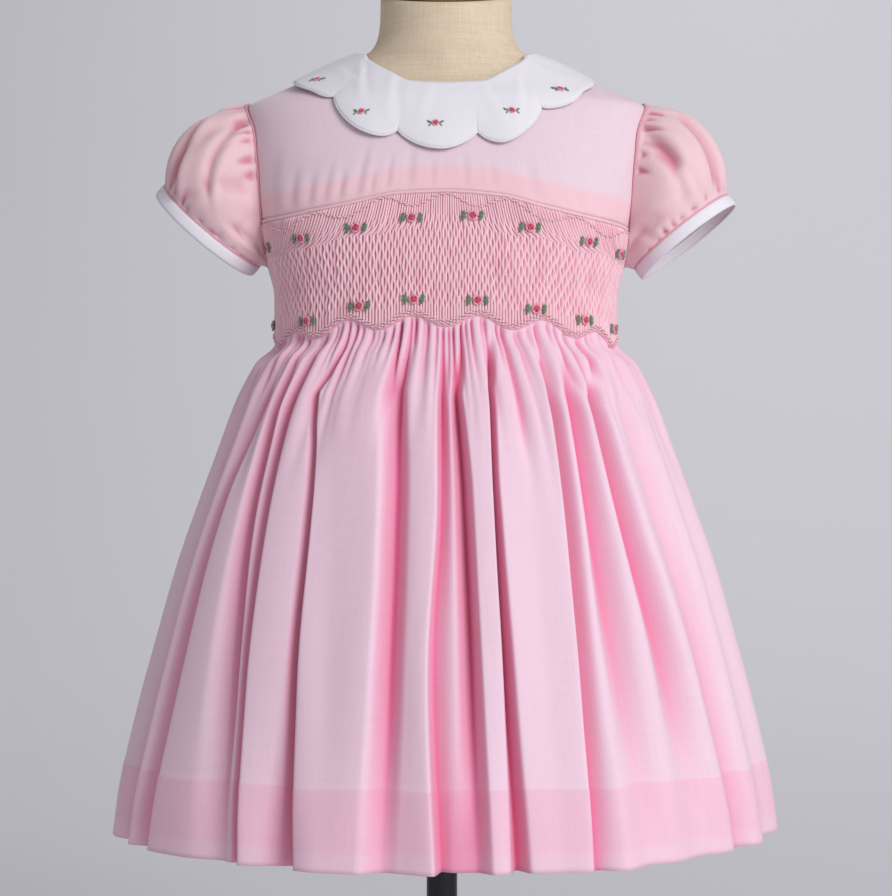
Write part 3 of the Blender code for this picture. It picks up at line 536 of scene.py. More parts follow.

# %% [markdown]
# The skirt is one full width of cloth gathered into the smocking. Its large folds are listed creases:
# each row of the table gives a crease's angle from the front centre at four heights, how far it stands
# out at three, and how much cloth lies between it and the one before. Between creases both ease from one
# to the next, so a crest next to a deep trough makes a steep wall, and a crisp edge with a dark slot.

# %% Folds of the skirt
FOLD_HEIGHTS = (481.0, 423.0, 337.0, 223.0)
RISE_HEIGHTS = (481.0, 360.0, 223.0)
FRONT_FOLDS = (
    # upper, middle, lower, hem, rise_upper, rise_middle, rise_hem, columns
    (-90.0, -90.0, -90.0, -90.0, 0.0, 0.0, 0.0, 0),
    (-80.0, -80.0, -79.0, -77.0, 2.0, 2.5, 3.5, 3),
    (-71.0, -72.0, -71.5, -70.5, -3.0, -5.0, -6.0, 3),
    (-67.0, -68.0, -68.0, -67.5, 2.0, 4.0, 4.0, 3),
    (-62.5, -63.5, -63.5, -63.0, -4.0, -6.0, -5.0, 3),
    (-60.0, -61.2, -60.5, -60.0, 3.0, 5.0, 4.0, 2),
    (-57.5, -56.5, -54.2, -50.0, 3.0, 4.0, 2.0, 3),
    (-54.5, -53.5, -49.0, -43.5, -7.0, -7.0, -4.0, 3),
    (-52.5, -51.0, -46.6, -41.0, 3.0, 1.0, -1.5, 2),
    (-50.2, -48.2, -44.6, -39.5, -7.0, -7.0, -4.0, 2),
    (-48.0, -46.3, -43.2, -37.9, 4.0, 5.0, 4.0, 2),
    (-44.2, -38.6, -35.2, -31.0, 2.0, 2.0, -6.0, 4),
    (-42.5, -36.2, -33.2, -28.6, -8.0, -11.0, -9.0, 2),
    (-40.9, -35.0, -31.6, -26.8, 3.0, 5.0, 5.0, 2),
    (-36.5, -30.3, -26.0, -22.5, 4.0, 4.0, 8.0, 3),
    (-21.8, -18.1, -16.3, -15.8, 6.0, 8.0, 8.0, 4),
    (-16.5, -14.0, -12.4, -11.2, -6.0, -6.0, -1.0, 3),
    (-12.0, -9.4, -8.6, -8.0, 3.0, 3.0, 2.0, 3),
    (-3.5, -2.8, -4.2, -2.3, 6.0, 7.0, 9.0, 3),
    (-1.4, -1.2, -2.6, -0.8, -4.0, -3.0, -6.0, 2),
    (1.2, 1.8, 1.8, 1.6, 1.0, 1.0, -3.0, 2),
    (4.0, 5.4, 6.0, 5.6, -9.0, -11.0, -3.0, 3),
    (6.0, 7.5, 7.8, 8.4, 4.0, 5.0, 6.0, 2),
    (13.4, 12.2, 11.6, 11.2, 5.0, 6.0, 3.0, 4),
    (15.0, 13.4, 13.2, 13.2, -8.0, -10.0, -8.0, 2),
    (16.6, 14.8, 14.8, 15.2, 4.0, 4.0, 4.0, 2),
    (24.4, 21.9, 20.9, 20.0, 3.0, 3.0, 5.0, 3),
    (31.5, 30.0, 27.6, 25.0, 6.0, 7.0, 9.0, 3),
    (33.4, 31.8, 29.2, 26.6, -6.0, -5.0, 4.0, 2),
    (37.1, 35.5, 33.0, 31.0, 4.0, 4.0, 12.0, 3),
    (41.3, 39.6, 38.6, 38.0, -5.0, -6.0, 2.0, 3),
    (44.6, 43.9, 44.2, 42.9, 3.0, 4.0, 3.0, 3),
    (48.3, 48.6, 50.6, 51.4, -6.0, -7.0, -3.0, 3),
    (51.2, 52.0, 55.1, 57.5, 4.0, 5.0, 1.0, 2),
    (59.6, 60.0, 61.8, 62.3, -4.0, -5.0, -6.0, 3),
    (65.8, 66.7, 67.7, 67.5, 3.0, 3.0, 2.5, 3),
    (74.0, 74.5, 75.5, 76.0, -3.0, -4.0, -5.0, 3),
    (82.0, 82.0, 82.5, 83.0, 1.5, 2.0, 1.5, 3),
    (90.0, 90.0, 90.0, 90.0, 0.0, 0.0, 0.0, 2),
)
BACK_FOLDS = (
    # waist, hem, depth, valley, measured from the right side round to the left
    (13.0, 11.0, 6.0, 4.0),
    (27.0, 25.0, 9.0, 5.0),
    (40.0, 38.0, 7.0, 4.0),
    (52.0, 52.5, 10.0, 5.0),
    (64.0, 64.0, 7.0, 4.5),
    (77.0, 78.0, 9.0, 5.0),
    (91.0, 92.0, 8.0, 4.0),
    (103.0, 105.0, 10.0, 5.0),
    (116.0, 118.5, 7.0, 4.0),
    (130.0, 131.5, 9.0, 5.0),
    (143.0, 146.0, 8.0, 4.5),
    (157.0, 160.0, 7.0, 4.0),
)
WAVE_MEAN = ((0, 529.0), (58, 526.0), (97, 520.0), (150, 515.5))
WAVE_PITCH = 39.0
WAVE_DEPTH = 3.6
SKIRT_COLUMNS = 430
SKIRT_THICK = 0.6
BAND_HEIGHT = 44.0
BAND_STEP = 0.0022
UPPER_ROWS, BAND_ROWS = 78, 15
SEAM_OUT = 1.1
SEAM_REACH = 15.0
FOLDS_GROW = 60.0
EVEN_AT_WAIST = 0.6
GATHERS, GATHER_WANDER = 66, 0.9
# Share of painted shade added just under the waist seam.
WAIST_PAINTED_SHADE = 0.09


def girth(degrees, height=530.0):
    """Length in mm along the waist section from the front centre to an angle, + to the right."""
    a = np.radians(np.linspace(-95, 95, 761))
    p = section(BODY, a - np.pi / 2, height + 0 * a)
    run = np.concatenate([[0], np.cumsum(np.linalg.norm(np.diff(p, axis=0), axis=1))])
    run -= np.interp(0, a, run)
    return np.interp(np.radians(degrees), a, run)


def wave_edge(degrees):
    """Height of the last smocking row: a wave whose high points lie under the flowers."""
    run = girth(degrees)
    return through(WAVE_MEAN, np.abs(run)) - WAVE_DEPTH * np.cos(2 * np.pi * run / WAVE_PITCH)


def front_top(degrees):
    """Upper edge of the skirt's front, half a seam under the wave."""
    return wave_edge(degrees) - SEAM_GAP / 2


def back_top(degrees):
    """Upper edge of the skirt's back, level with the waist."""
    return WAIST_SIDE - SEAM_GAP + 0 * np.asarray(degrees, float)


def fold_lines(folds, heights, rises, columns, at_heights):
    """Angle and rise at each column and height: monotone cubics across the creases, then down them."""
    stops = np.cumsum([f[-1] for f in folds])
    places = np.linspace(0, stops[-1], columns + 1)
    values = np.array([f[:-1] for f in folds])
    across = np.array([smooth(places, stops, values[:, k]) for k in range(values.shape[1])])

    def down(levels, rows):
        order = np.argsort(levels)
        xs, ys = np.array(levels)[order], rows[order]
        h = np.clip(at_heights, xs[0], xs[-1])
        return np.array([smooth(h, xs, ys[:, c]) for c in range(columns + 1)]).T

    return down(heights, across[:len(heights)]), down(rises, across[len(heights):])


def back_fold_rows():
    """The back's creases in the front's columns: a crisp edge, then its valley."""
    rows = [(-90.0, -90.0, 0.0, 0.0, 0)]
    for waist, hem, depth, valley in BACK_FOLDS:
        crest = depth * 0.45
        rows.append((waist - 90.0, hem - 90.0, crest * 0.7, crest, 3))
        rows.append((waist + valley * 0.7 - 90.0, hem + valley - 90.0, -depth * 0.6, -depth * 0.55, 2))
    rows.append((90.0, 90.0, 0.0, 0.0, 3))
    return rows


def gathers(degrees, drop, seed):
    """Fine gathers under the waist: narrow troughs of uneven spacing, depth and length."""
    pick = np.random.default_rng(seed)
    places = np.linspace(-88, 88, GATHERS) + pick.normal(0, GATHER_WANDER, GATHERS)
    depths = pick.uniform(1.5, 3.5, GATHERS)
    lengths = pick.uniform(30.0, 130.0, GATHERS)
    widths = pick.uniform(0.5, 0.85, GATHERS)
    total = np.zeros(np.broadcast(degrees, drop).shape)
    for place, depth, length, width in zip(places, depths, lengths, widths):
        shape = bell(degrees - place, width * (1.0 + drop / 60.0))
        total -= depth * shape * ease(drop, 0.0, 4.0) * (1 - ease(drop, length * 0.2, length))
    return total


def skirt_grid(folds, heights, rises, turn, top_edge, seed):
    """Middle of half the skirt: the mean surface moved out by its folds, gathers and doubled hem."""
    mean_top = float(np.mean(top_edge(np.linspace(-80, 80, 41))))
    band_row = (mean_top - HEM_HEIGHT - BAND_HEIGHT) / (mean_top - HEM_HEIGHT)
    upper = np.linspace(0, 1, UPPER_ROWS) ** 1.25 * band_row
    v = np.concatenate([upper, [band_row + BAND_STEP], np.linspace(band_row + 0.01, 1.0, BAND_ROWS)])
    row_height = mean_top + (HEM_HEIGHT - mean_top) * v
    angle, rise = fold_lines(folds, heights, rises, SKIRT_COLUMNS, row_height)
    even = np.linspace(folds[0][0], folds[-1][0], SKIRT_COLUMNS + 1)[None, :]
    near_top = np.clip((row_height - max(heights)) / (mean_top - max(heights)), 0, 1)[:, None]
    angle = angle * (1 - EVEN_AT_WAIST * near_top) + even * EVEN_AT_WAIST * near_top
    drop = (mean_top - row_height)[:, None]
    rise = rise * ease(drop, 0.0, FOLDS_GROW)
    rise = rise + gathers(angle, drop, seed)
    height = top_edge(angle) + (HEM_HEIGHT - top_edge(angle)) * v[:, None]
    points = section(SKIRT, np.radians(angle + turn), height)
    outward = unit(points * np.array([1.0, 1.0, 0.0]))
    doubled = (v > band_row + BAND_STEP / 2)[:, None] * np.ones_like(angle)
    points = points + outward * (rise + CLOTH / 2 + 0.3 * doubled)[..., None]
    seam_line = body(np.radians(angle + turn), height, SEAM_OUT + 0 * angle) + outward * rise[..., None]
    into_seam = (1 - ease(drop, 0.0, SEAM_REACH))[..., None]
    points = points * (1 - into_seam) + seam_line * into_seam
    points[:, [0, -1], 1] = (-1.0 if turn < 0 else 1.0) * SEAM_HALF
    return points, doubled, height


def make_skirt(name, folds, heights, rises, turn, top_edge, seed):
    """One half of the skirt as a thin sheet, with its painted fold shade and doubled hem as point values."""
    points, doubled, height = skirt_grid(folds, heights, rises, turn, top_edge, seed)
    shut = softened(closed_in(points, 26, step=2), 2)
    drop = height[:1] - height
    # Painted shade: deeper colour where neighbouring cloth shuts out light, and a band of it under the waist
    # seam.
    deep = np.clip(ease(shut, 0.20, 0.72) + WAIST_PAINTED_SHADE * (1 - ease(drop, 15.0, 110.0)), 0, 1)
    layers = doubled * np.where(height > HEM_HEIGHT + 11.0, 1.0, 0.55)
    piece = shell(name, points, SKIRT_THICK, pink_skirt, values={"deep": deep, "doubled": layers})
    finish_piece(piece, name.replace("_cloth", ""), slot="pink_batiste")
    if turn < 0:
        for label, column in (("side_seam_left", 0), ("side_seam_right", -1)):
            path = points[:, column] * np.array([1.0, 0.0, 1.0])
            # The side seam cords carry a fixed painted shade.
            cord(label, path, 0.6, (0, 1, 0), 6, pink_skirt, slot="pink_batiste", deep=0.2, doubled=1.0)
    print(name, "area", round(sheet_area(points), 4), "deepest", round(float(deep.max()), 2))
    return piece


skirt_front = make_skirt("skirt_front_cloth", FRONT_FOLDS, FOLD_HEIGHTS, RISE_HEIGHTS, -90.0,
                         front_top, 5)
skirt_back = make_skirt("skirt_back_cloth", back_fold_rows(), (481.0, 223.0), (440.0, 223.0), 90.0,
                        back_top, 9)

# %% [markdown]
# The front panels are cut out of the bodice's surface: a yoke above a curved seam and a smocked panel below
# it. Their side edges follow the armhole, whose half width along the depth of the body is an ellipse of
# the height, so a column's angle is a share of the angle at that edge.

# %% Edges of the front panels
YOKE_SEAM = ((-77, 591.0), (-65, 591.5), (-50, 595.0), (-43, 597.0), (-21, 603.6), (0, 604.6),
             (24, 602.4), (42, 595.6), (56, 590.7), (77, 586.0))
NECK_EDGE = ((0, 671.6), (25, 672.8), (40, 678.6), (59, 687.5), (69, 692.5), (90, 695.0),
             (120, 694.0), (150, 690.0), (180, 688.0))
PANEL_END = 77.0
PIPING_HALF = 1.1


def armhole_half(height):
    """Half the armhole's opening along Y at a height: an ellipse from shoulder tip to underarm."""
    middle, reach = (SHOULDER_TIP + UNDERARM) / 2, (SHOULDER_TIP - UNDERARM) / 2
    part = np.clip(1 - ((np.asarray(height, float) - middle) / reach) ** 2, 0, 1)
    return np.maximum(ARMHOLE_DEPTH * np.sqrt(part), SEAM_HALF)


def edge_angle(height, back):
    """Angle in radians from +X of a panel's edge beside the right armhole or side seam."""
    y = armhole_half(height)
    width, front, rear, power = (smooth(height, BODY[:, 0], BODY[:, k]) for k in (1, 2, 3, 4))
    x = width * (1 - (y / (rear if back else front)) ** power) ** (1 / power)
    return np.arctan2(y if back else -y, x)


def panel_front(top, bottom, t, v, out):
    """Front points for t from -1 to 1 across and v from 0 to 1 down, between two edges by angle."""
    side_height = through(top, PANEL_END) * (1 - v) + through(bottom, PANEL_END) * v
    angle = -np.pi / 2 + t * (np.pi / 2 + edge_angle(side_height, back=False))
    degrees = np.degrees(angle) + 90
    height = through(top, degrees) * (1 - v) + through(bottom, degrees) * v
    return body(angle, height, out)


print("armhole half depth at its middle:", float(armhole_half(615.0)))

# %% [markdown]
# Smocking is worked on cloth drawn up into even tubes, called reeds, about two millimetres apart. Near the
# seam and the last row they run straight. In between, stitches pair each reed first with one neighbour and
# then with the other, which makes rows of diamonds. Each reed is four columns of the grid: a valley, a
# flank, the crest and a flank. The crest swings left and right with a cosine of the height, opposite to
# its neighbours' crests, and a valley between two crests that part lies deeper.

# %% Smocked front
REEDS = 147
PER_REED = 4
SMOCK_ROWS = 76
SMOCK_LENGTH = 72.0
DIAMOND = 9.3
TRELLIS_FROM, TRELLIS_TO = 0.2, 0.86
SWING = 0.33
REED_HIGH, REED_LOW = 2.5, 0.7
WANDER_ROWS = 12
PHASE_WANDER, SWING_WANDER, CREST_WANDER, VALLEY_WANDER = 0.95, 0.16, 0.14, 0.05


def make_smocked_front():
    """Relief of reeds over the bodice between the yoke seam and the last wave of stitches, with painted shade
    in the valleys.
    """
    pick = np.random.default_rng(21)
    c = np.arange(REEDS * PER_REED + 1)[None, :]
    v = np.linspace(0, 1, SMOCK_ROWS)[:, None]
    reed, part = c // PER_REED, (c % PER_REED) / PER_REED
    wander = softened(pick.normal(0, 1, (WANDER_ROWS, REEDS + 1)), 1)
    wander_rows = np.linspace(0, 1, WANDER_ROWS)
    wander = np.array([np.interp(v[:, 0], wander_rows, wander[:, k]) for k in range(REEDS + 1)]).T
    uneven = wander[:, reed[0]]
    phase = np.pi * (v * SMOCK_LENGTH / (DIAMOND / 2)) + PHASE_WANDER * uneven
    trellis = ease(v, TRELLIS_FROM - 0.06, TRELLIS_FROM + 0.03)
    trellis = trellis * (1 - ease(v, TRELLIS_TO - 0.03, TRELLIS_TO + 0.05))
    side = np.where(reed % 2 == 0, 1.0, -1.0)
    sway = side * np.cos(phase) * trellis
    crest = np.sin(np.pi * part)
    shift = SWING * sway * crest + SWING_WANDER * uneven * crest
    meeting = np.roll(side, PER_REED, axis=1) * np.cos(phase) * trellis
    valley = 0.10 + 0.40 * trellis * np.clip(meeting, -0.2, 1) + VALLEY_WANDER * uneven
    ridge = 0.95 + CREST_WANDER * uneven - 0.06 * trellis * np.abs(np.cos(phase))
    rise = valley * (1 - crest) + ridge * crest
    t = -1 + 2 * (c + shift * PER_REED) / (REEDS * PER_REED)
    ends = np.minimum(np.minimum(c, REEDS * PER_REED - c) / 6.0, 1.0)
    ends = ends * np.minimum(1, 0.35 + np.minimum(v, 1 - v) / 0.03)
    out = REED_LOW + (REED_HIGH - REED_LOW) * rise * ends
    top = [(a, h - PIPING_HALF) for a, h in YOKE_SEAM]
    fine = np.linspace(-90, 90, 181)
    bottom = list(zip(fine, wave_edge(fine) + SEAM_GAP / 2))
    points = panel_front(top, bottom, t, v, out)
    # Painted shade in the valleys between reeds, weaker near the panel's ends.
    deep = np.clip((0.92 - rise) / 0.8, 0, 1) * (0.45 + 0.55 * ends)
    piece = shell("smocked_front_cloth", points, 0.5, pink_smocked, values={"deep": deep})
    finish_piece(piece, "smocked_front", slot="pink_smocking")
    return piece, sheet_area(points)


smocked, smocked_area = make_smocked_front()
print("smocked front area", round(smocked_area, 4))

# %% [markdown]
# The yoke is a plain panel, tightly held by its seams. Its lower 15 mm are doubled by the seam allowance
# behind them, so the pink is stronger there. A few soft wrinkles run up from the seam on the left.

# %% Front yoke
YOKE_BAND = 15.0
SHOULDER_ROWS = (695.0, 690.0, 682.0, 674.0, 668.0, 664.3, 658.0, 645.0)
YOKE_WRINKLES = (
    # degrees, height_low, height_high, width, depth
    (-68.0, 594.0, 640.0, 2.2, 0.5),
    (-60.0, 596.0, 626.0, 1.6, 0.7),
    (-54.0, 596.0, 622.0, 1.3, 0.6),
    (-49.0, 598.0, 630.0, 1.2, 0.5),
    (-44.0, 599.0, 622.0, 1.2, 0.7),
    (-38.0, 601.0, 640.0, 1.6, 0.6),
    (-33.0, 602.0, 618.0, 1.1, 0.5),
    (-27.0, 604.0, 632.0, 1.4, 0.45),
    (-18.0, 604.0, 640.0, 2.4, 0.5),
    (-7.0, 606.0, 628.0, 1.8, 0.3),
    (9.0, 606.0, 634.0, 2.0, 0.3),
    (22.0, 604.0, 626.0, 1.8, 0.3),
    (37.0, 600.0, 632.0, 2.4, 0.45),
    (52.0, 594.0, 612.0, 1.8, 0.5),
    (61.0, 592.0, 634.0, 2.2, 0.5),
    (70.0, 592.0, 612.0, 1.6, 0.5),
)


def wrinkled(table, degrees, height):
    """Soft upright troughs: a bell across each wrinkle, fading at both of its ends."""
    total = 0.0 * height
    for place, low, high, width, depth in table:
        along = ease(height, low - 4.0, low + 3.0) * (1 - ease(height, low + 0.45 * (high - low), high))
        total = total - depth * along * bell(degrees - place, width)
        total = total + 0.6 * depth * along * bell(degrees - place - 1.7 * width, width)
    return total


def make_front_yoke():
    """Yoke from the neck edge to the seam, in rows that follow the armhole at the sides."""
    edge = [(a, h + PIPING_HALF) for a, h in YOKE_SEAM]
    neck = [(-a, h) for a, h in reversed(NECK_EDGE[1:6])] + list(NECK_EDGE[:6])
    t = np.linspace(-1, 1, 181)[None, :]
    bottom_side = float(through(edge, PANEL_END))
    low_rows = np.linspace(641.0, bottom_side, 24)
    high_rows = np.interp(np.linspace(0, 7, 36), np.arange(8), SHOULDER_ROWS)
    side_height = np.concatenate([high_rows, low_rows])[:, None]
    part = (side_height - bottom_side) / (NECK_SIDE - bottom_side)
    angle = -np.pi / 2 + t * (np.pi / 2 + edge_angle(side_height, back=False))
    degrees = np.degrees(angle) + 90
    low, high = through(edge, degrees), through(neck, degrees)
    height = low + (high - low) * part
    out = CLOTH / 2 + wrinkled(YOKE_WRINKLES, degrees, height) * ease(height - low, 0.0, 6.0)
    points = body(angle, height, out)
    doubled = 1 - ease(height - low, YOKE_BAND - 3.0, YOKE_BAND + 2.0)
    piece = shell("front_yoke_cloth", points, 0.6, pink_yoke, values={"deep": 0.0, "doubled": doubled})
    finish_piece(piece, "front_yoke", slot="pink_batiste")
    return piece, sheet_area(points)


yoke, yoke_area = make_front_yoke()
print("yoke area", round(yoke_area, 4))

# %% [markdown]
# A fine corded piping is sewn into the yoke seam. It is a tube along the seam's curve, with a ripple for
# the twist of the cord.

# %% Piping
def make_piping():
    """Tube of about 1 mm radius along the yoke seam, rippled every 2 mm."""
    side = edge_angle(through(YOKE_SEAM, PANEL_END), back=False)
    angle = -np.pi / 2 + np.linspace(-0.985, 0.985, 420) * (np.pi / 2 + side)
    path = body(angle, through(YOKE_SEAM, np.degrees(angle) + 90), 1.0)
    run = np.concatenate([[0], np.cumsum(np.linalg.norm(np.diff(path, axis=0), axis=1))])
    radius = 1.05 + 0.04 * np.sin(2 * np.pi * run / 2.0)
    return cord("yoke_piping_cord", path, radius, (0, 0, 1), 8, pink_yoke, "yoke_piping", slot="pink_batiste",
                deep=0.0, doubled=1.0)


make_piping()
print("piping made")

# %% [markdown]
# The back bodice is in two halves that lap at the centre, where the buttons are. Each half has a folded
# placket, where the doubled cloth is a stronger pink, and the same soft strain wrinkles as the yoke.

# %% Back bodices
BACK_ROWS_LOW = (622.0, 594.0, 566.0, 543.0, 516.5)
OVERLAP = 9.0
LAP_STARTS, LAP_WIDE = 0.79, 0.1
PLACKET_FROM = 0.66
BACK_WRINKLES = (
    # degrees from the front centre on the right, height_low, height_high, width, depth
    (112.0, 518.0, 570.0, 2.0, 0.5),
    (124.0, 518.0, 552.0, 1.6, 0.6),
    (133.0, 518.0, 560.0, 1.8, 0.5),
    (145.0, 518.0, 546.0, 1.5, 0.5),
    (120.0, 622.0, 668.0, 2.6, 0.4),
    (146.0, 630.0, 672.0, 2.6, 0.35),
)


def back_grid(lapped):
    """Points of the right half of the back, from its side edge to past the centre."""
    knots = np.array([*SHOULDER_ROWS, *BACK_ROWS_LOW])
    side_height = np.interp(np.linspace(0, len(knots) - 1, 70), np.arange(len(knots)), knots)[:, None]
    part = (NECK_SIDE - side_height) / (NECK_SIDE - WAIST_SIDE)
    side = edge_angle(side_height, back=True)
    t = np.linspace(0, 1, 81)[None, :]
    middle = np.arctan2(60.0, -OVERLAP / 2)
    angle = side + (middle - side) * t
    turned = np.degrees(angle) + 90
    neck = through((*NECK_EDGE[:-1], (190, 688.0)), np.abs(turned))
    height = neck + (WAIST_SIDE - neck) * part
    lap = ease(t, LAP_STARTS, LAP_STARTS + LAP_WIDE) * (CLOTH + SEAM_GAP + 0.1) * lapped
    points = body(angle, height, CLOTH / 2 + lap + wrinkled(BACK_WRINKLES, turned, height))
    return points, t


def make_backs():
    """Both halves; the left is the right one mirrored, without the lap."""
    made = []
    for name, lapped in (("right", 1.0), ("left", 0.0)):
        points, t = back_grid(lapped)
        placket = ease(t, PLACKET_FROM, PLACKET_FROM + 0.01) + 0 * points[..., 0]
        if name == "left":
            points = points[:, ::-1] * np.array([-1.0, 1.0, 1.0])
            placket = placket[:, ::-1]
        piece = shell("back_bodice_%s_cloth" % name, points, 0.7, pink_yoke,
                      values={"deep": 0.0, "doubled": placket})
        finish_piece(piece, "back_bodice_" + name, slot="pink_batiste")
        made.append((piece, sheet_area(points)))
    return made


for piece, area in make_backs():
    print(piece.name, "area", round(area, 4))

# %% [markdown]
# The collar is one flat scalloped piece. Its width from the neck edge is plain at each notch and fuller
# between two notches, and a fine satin edge closes the outline. It lies on the yoke with a slight roll.

# %% Collar
COLLAR_NOTCHES = (-178, -152, -122, -92, -57, -26, 17.5, 49, 87, 118, 149, 178)
COLLAR_WIDTH = 35.0
SCALLOP_DEPTH = 11.0
COLLAR_CLOTH = 1.0
COLLAR_CLEAR = 0.9
COLLAR_ROLL = 1.3
COLLAR_WAVE = 1.8
COLLAR_CREASES = (
    # degrees_from, share_from, degrees_to, share_to, width, depth
    (-62.0, 0.15, -46.0, 0.62, 2.2, 0.7),
    (-70.0, 0.45, -52.0, 0.50, 2.0, 0.5),
    (-38.0, 0.05, -30.0, 0.80, 2.4, 0.45),
    (-12.0, 0.10, -16.0, 0.70, 3.0, 0.3),
    (24.0, 0.15, 32.0, 0.75, 2.6, 0.35),
    (46.0, 0.30, 36.0, 0.80, 2.2, 0.45),
    (62.0, 0.15, 70.0, 0.75, 2.4, 0.4),
    (100.0, 0.1, 108.0, 0.8, 2.6, 0.4),
    (-104.0, 0.1, -110.0, 0.8, 2.6, 0.4),
    (138.0, 0.1, 132.0, 0.8, 2.6, 0.4),
    (-140.0, 0.1, -134.0, 0.8, 2.6, 0.4),
)


def neck_down(degrees, width):
    """Heights of the points a given distance down the body from the neck edge."""
    reach = np.linspace(0, 1, 61)
    heights = through(NECK_EDGE, np.abs(degrees))[:, None] - 62.0 * reach[None, :]
    line = section(BODY, from_front(degrees)[:, None] + 0 * heights, heights)
    run = np.linalg.norm(np.diff(line, axis=1), axis=-1)
    run = np.concatenate([np.zeros((len(degrees), 1)), np.cumsum(run, axis=1)], axis=1)
    return np.array([np.interp(width[i], run[i], heights[i]) for i in range(len(degrees))])


def scallop(degrees):
    """Collar width by angle: the plain width at each notch, fuller between them."""
    notches = np.array(COLLAR_NOTCHES, float)
    i = np.clip(np.searchsorted(notches, degrees) - 1, 0, len(notches) - 2)
    part = (degrees - notches[i]) / (notches[i + 1] - notches[i])
    return COLLAR_WIDTH + SCALLOP_DEPTH * np.sin(np.pi * np.clip(part, 0, 1)) ** 0.7


def collar_grid():
    """Points of the collar's middle: rows from the neck edge out, lifted by its roll, waves and creases."""
    steps = (1 - np.cos(np.pi * np.linspace(0, 1, 29))) / 2
    pieces = [a + (b - a) * steps[:-1] for a, b in zip(COLLAR_NOTCHES[:-1], COLLAR_NOTCHES[1:])]
    degrees = np.concatenate([*pieces, [COLLAR_NOTCHES[-1]]])
    part = np.linspace(0, 1, 19)[:, None]
    width = scallop(degrees)
    height = np.array([neck_down(degrees, width * p) for p in part[:, 0]])
    over_lap = np.clip((np.abs(degrees) - 160.0) / 10.0, 0, 1)[None, :]
    lift = CLOTH + COLLAR_CLEAR + COLLAR_CLOTH / 2 + COLLAR_ROLL * (1 - part) * part * 4
    lift = lift + (CLOTH + 0.6) * over_lap
    notch = np.interp(degrees, COLLAR_NOTCHES, np.arange(len(COLLAR_NOTCHES)))[None, :]
    lift = lift + COLLAR_WAVE * part**2 * np.sin(np.pi * (notch % 1)) ** 2
    spread = degrees[None, :] + 0 * height
    for d0, s0, d1, s1, wide, depth in COLLAR_CREASES:
        along = np.stack([(d1 - d0) * 0.8, (s1 - s0) * 40.0])
        here = np.stack([(spread - d0) * 0.8, (part + 0 * height - s0) * 40.0])
        length = float(np.hypot(*along))
        q = (here[0] * along[0] + here[1] * along[1]) / length**2
        off = (here[0] * along[1] - here[1] * along[0]) / length
        fade = ease(q, -0.25, 0.15) * (1 - ease(q, 0.7, 1.15))
        lift = lift + depth * fade * (bell(off, wide) - 0.7 * bell(off - 1.6 * wide, wide))
    return body(from_front(spread), height, lift)


collar_points = collar_grid()
collar = shell("collar_cloth", collar_points, 0.8, white_cloth, values={"deep": 0.0})
finish_piece(collar, "collar", slot="white_batiste")
cord("collar_edge_stitch", collar_points[-1], 0.55, (0, 0, 1), 6, white_thread, slot="white_batiste")
print("collar area", round(sheet_area(collar_points), 4))

# %% [markdown]
# A puffed sleeve is a tube from the armhole to the cuff, fuller than both. Each column is a cubic that
# leaves the armhole outwards and arrives along the arm, as the solid's does. Gathers fan out from the
# shoulder and from the cuff, and a few large folds are listed one by one.

# %% Sleeves and cuffs
CUFFS = {
    "left": dict(side=-1, outer=(-176.0, 613.0), inner=(-118.5, 563.0), depth=35.0, lean=5.6),
    "right": dict(side=1, outer=(177.0, 605.5), inner=(120.0, 561.0), depth=35.0, lean=-3.7),
}
CUFF_WIDTH = 7.0
CUFF_PROFILE = (
    # place along the arm, growth outwards
    (-CUFF_WIDTH / 2, -0.1),
    (-CUFF_WIDTH / 2 + 0.5, 0.35),
    (-1.0, 0.45),
    (1.5, 0.45),
    (CUFF_WIDTH / 2 - 0.5, 0.35),
    (CUFF_WIDTH / 2, -0.1),
)
SLEEVE_COLUMNS = 240
SLEEVE_ROWS = 66
SLEEVE_SPREAD = 0.9
SLEEVE_PUFF = 0.9
FOLD_DEPTH = 1.35
SLEEVE_CREASES = {
    # turn from the top to the front and share of the length, at the start and end; width, depth
    "left": ((12.0, 0.30, 48.0, 0.98, 7.0, 3.0), (36.0, 0.0, 78.0, 0.70, 6.0, 1.9),
             (62.0, 0.95, 96.0, 0.10, 6.5, 1.4), (112.0, 0.70, 152.0, 0.05, 9.0, 2.4),
             (-30.0, 0.20, -55.0, 0.95, 8.0, 2.4), (-80.0, 0.05, -100.0, 0.80, 8.0, 1.8)),
    "right": ((20.0, 0.25, 40.0, 0.97, 7.0, 2.6), (52.0, 0.0, 70.0, 0.60, 6.0, 1.8),
              (80.0, 0.92, 64.0, 0.15, 6.5, 1.5), (108.0, 0.75, 140.0, 0.05, 9.0, 2.2),
              (-26.0, 0.25, -60.0, 0.95, 8.0, 2.4), (-92.0, 0.05, -84.0, 0.80, 8.0, 1.8)),
}


def cuff_ring(cuff, along, psi, grow=0.0):
    """Points of the cuff's ring, shifted along the arm, with its arm and front directions."""
    outer = np.array([cuff["outer"][0], 0.0, cuff["outer"][1]])
    inner = np.array([cuff["inner"][0], 0.0, cuff["inner"][1]])
    half = np.linalg.norm(outer - inner) / 2
    across = (outer - inner) / (2 * half)
    arm = np.array([cuff["side"] * across[2], 0.0, -abs(across[0])])
    front = np.array([0.0, -1.0, 0.0]) + arm * cuff["lean"] / cuff["depth"]
    ring = (outer + inner) / 2 + arm * along + (half + grow) * np.cos(psi)[:, None] * across
    return ring - (cuff["depth"] + grow) * np.sin(psi)[:, None] * cuff["side"] * front, across, arm, front


def wrapped(turns):
    """An angle in degrees brought into -180 to 180."""
    return (turns + 180.0) % 360.0 - 180.0


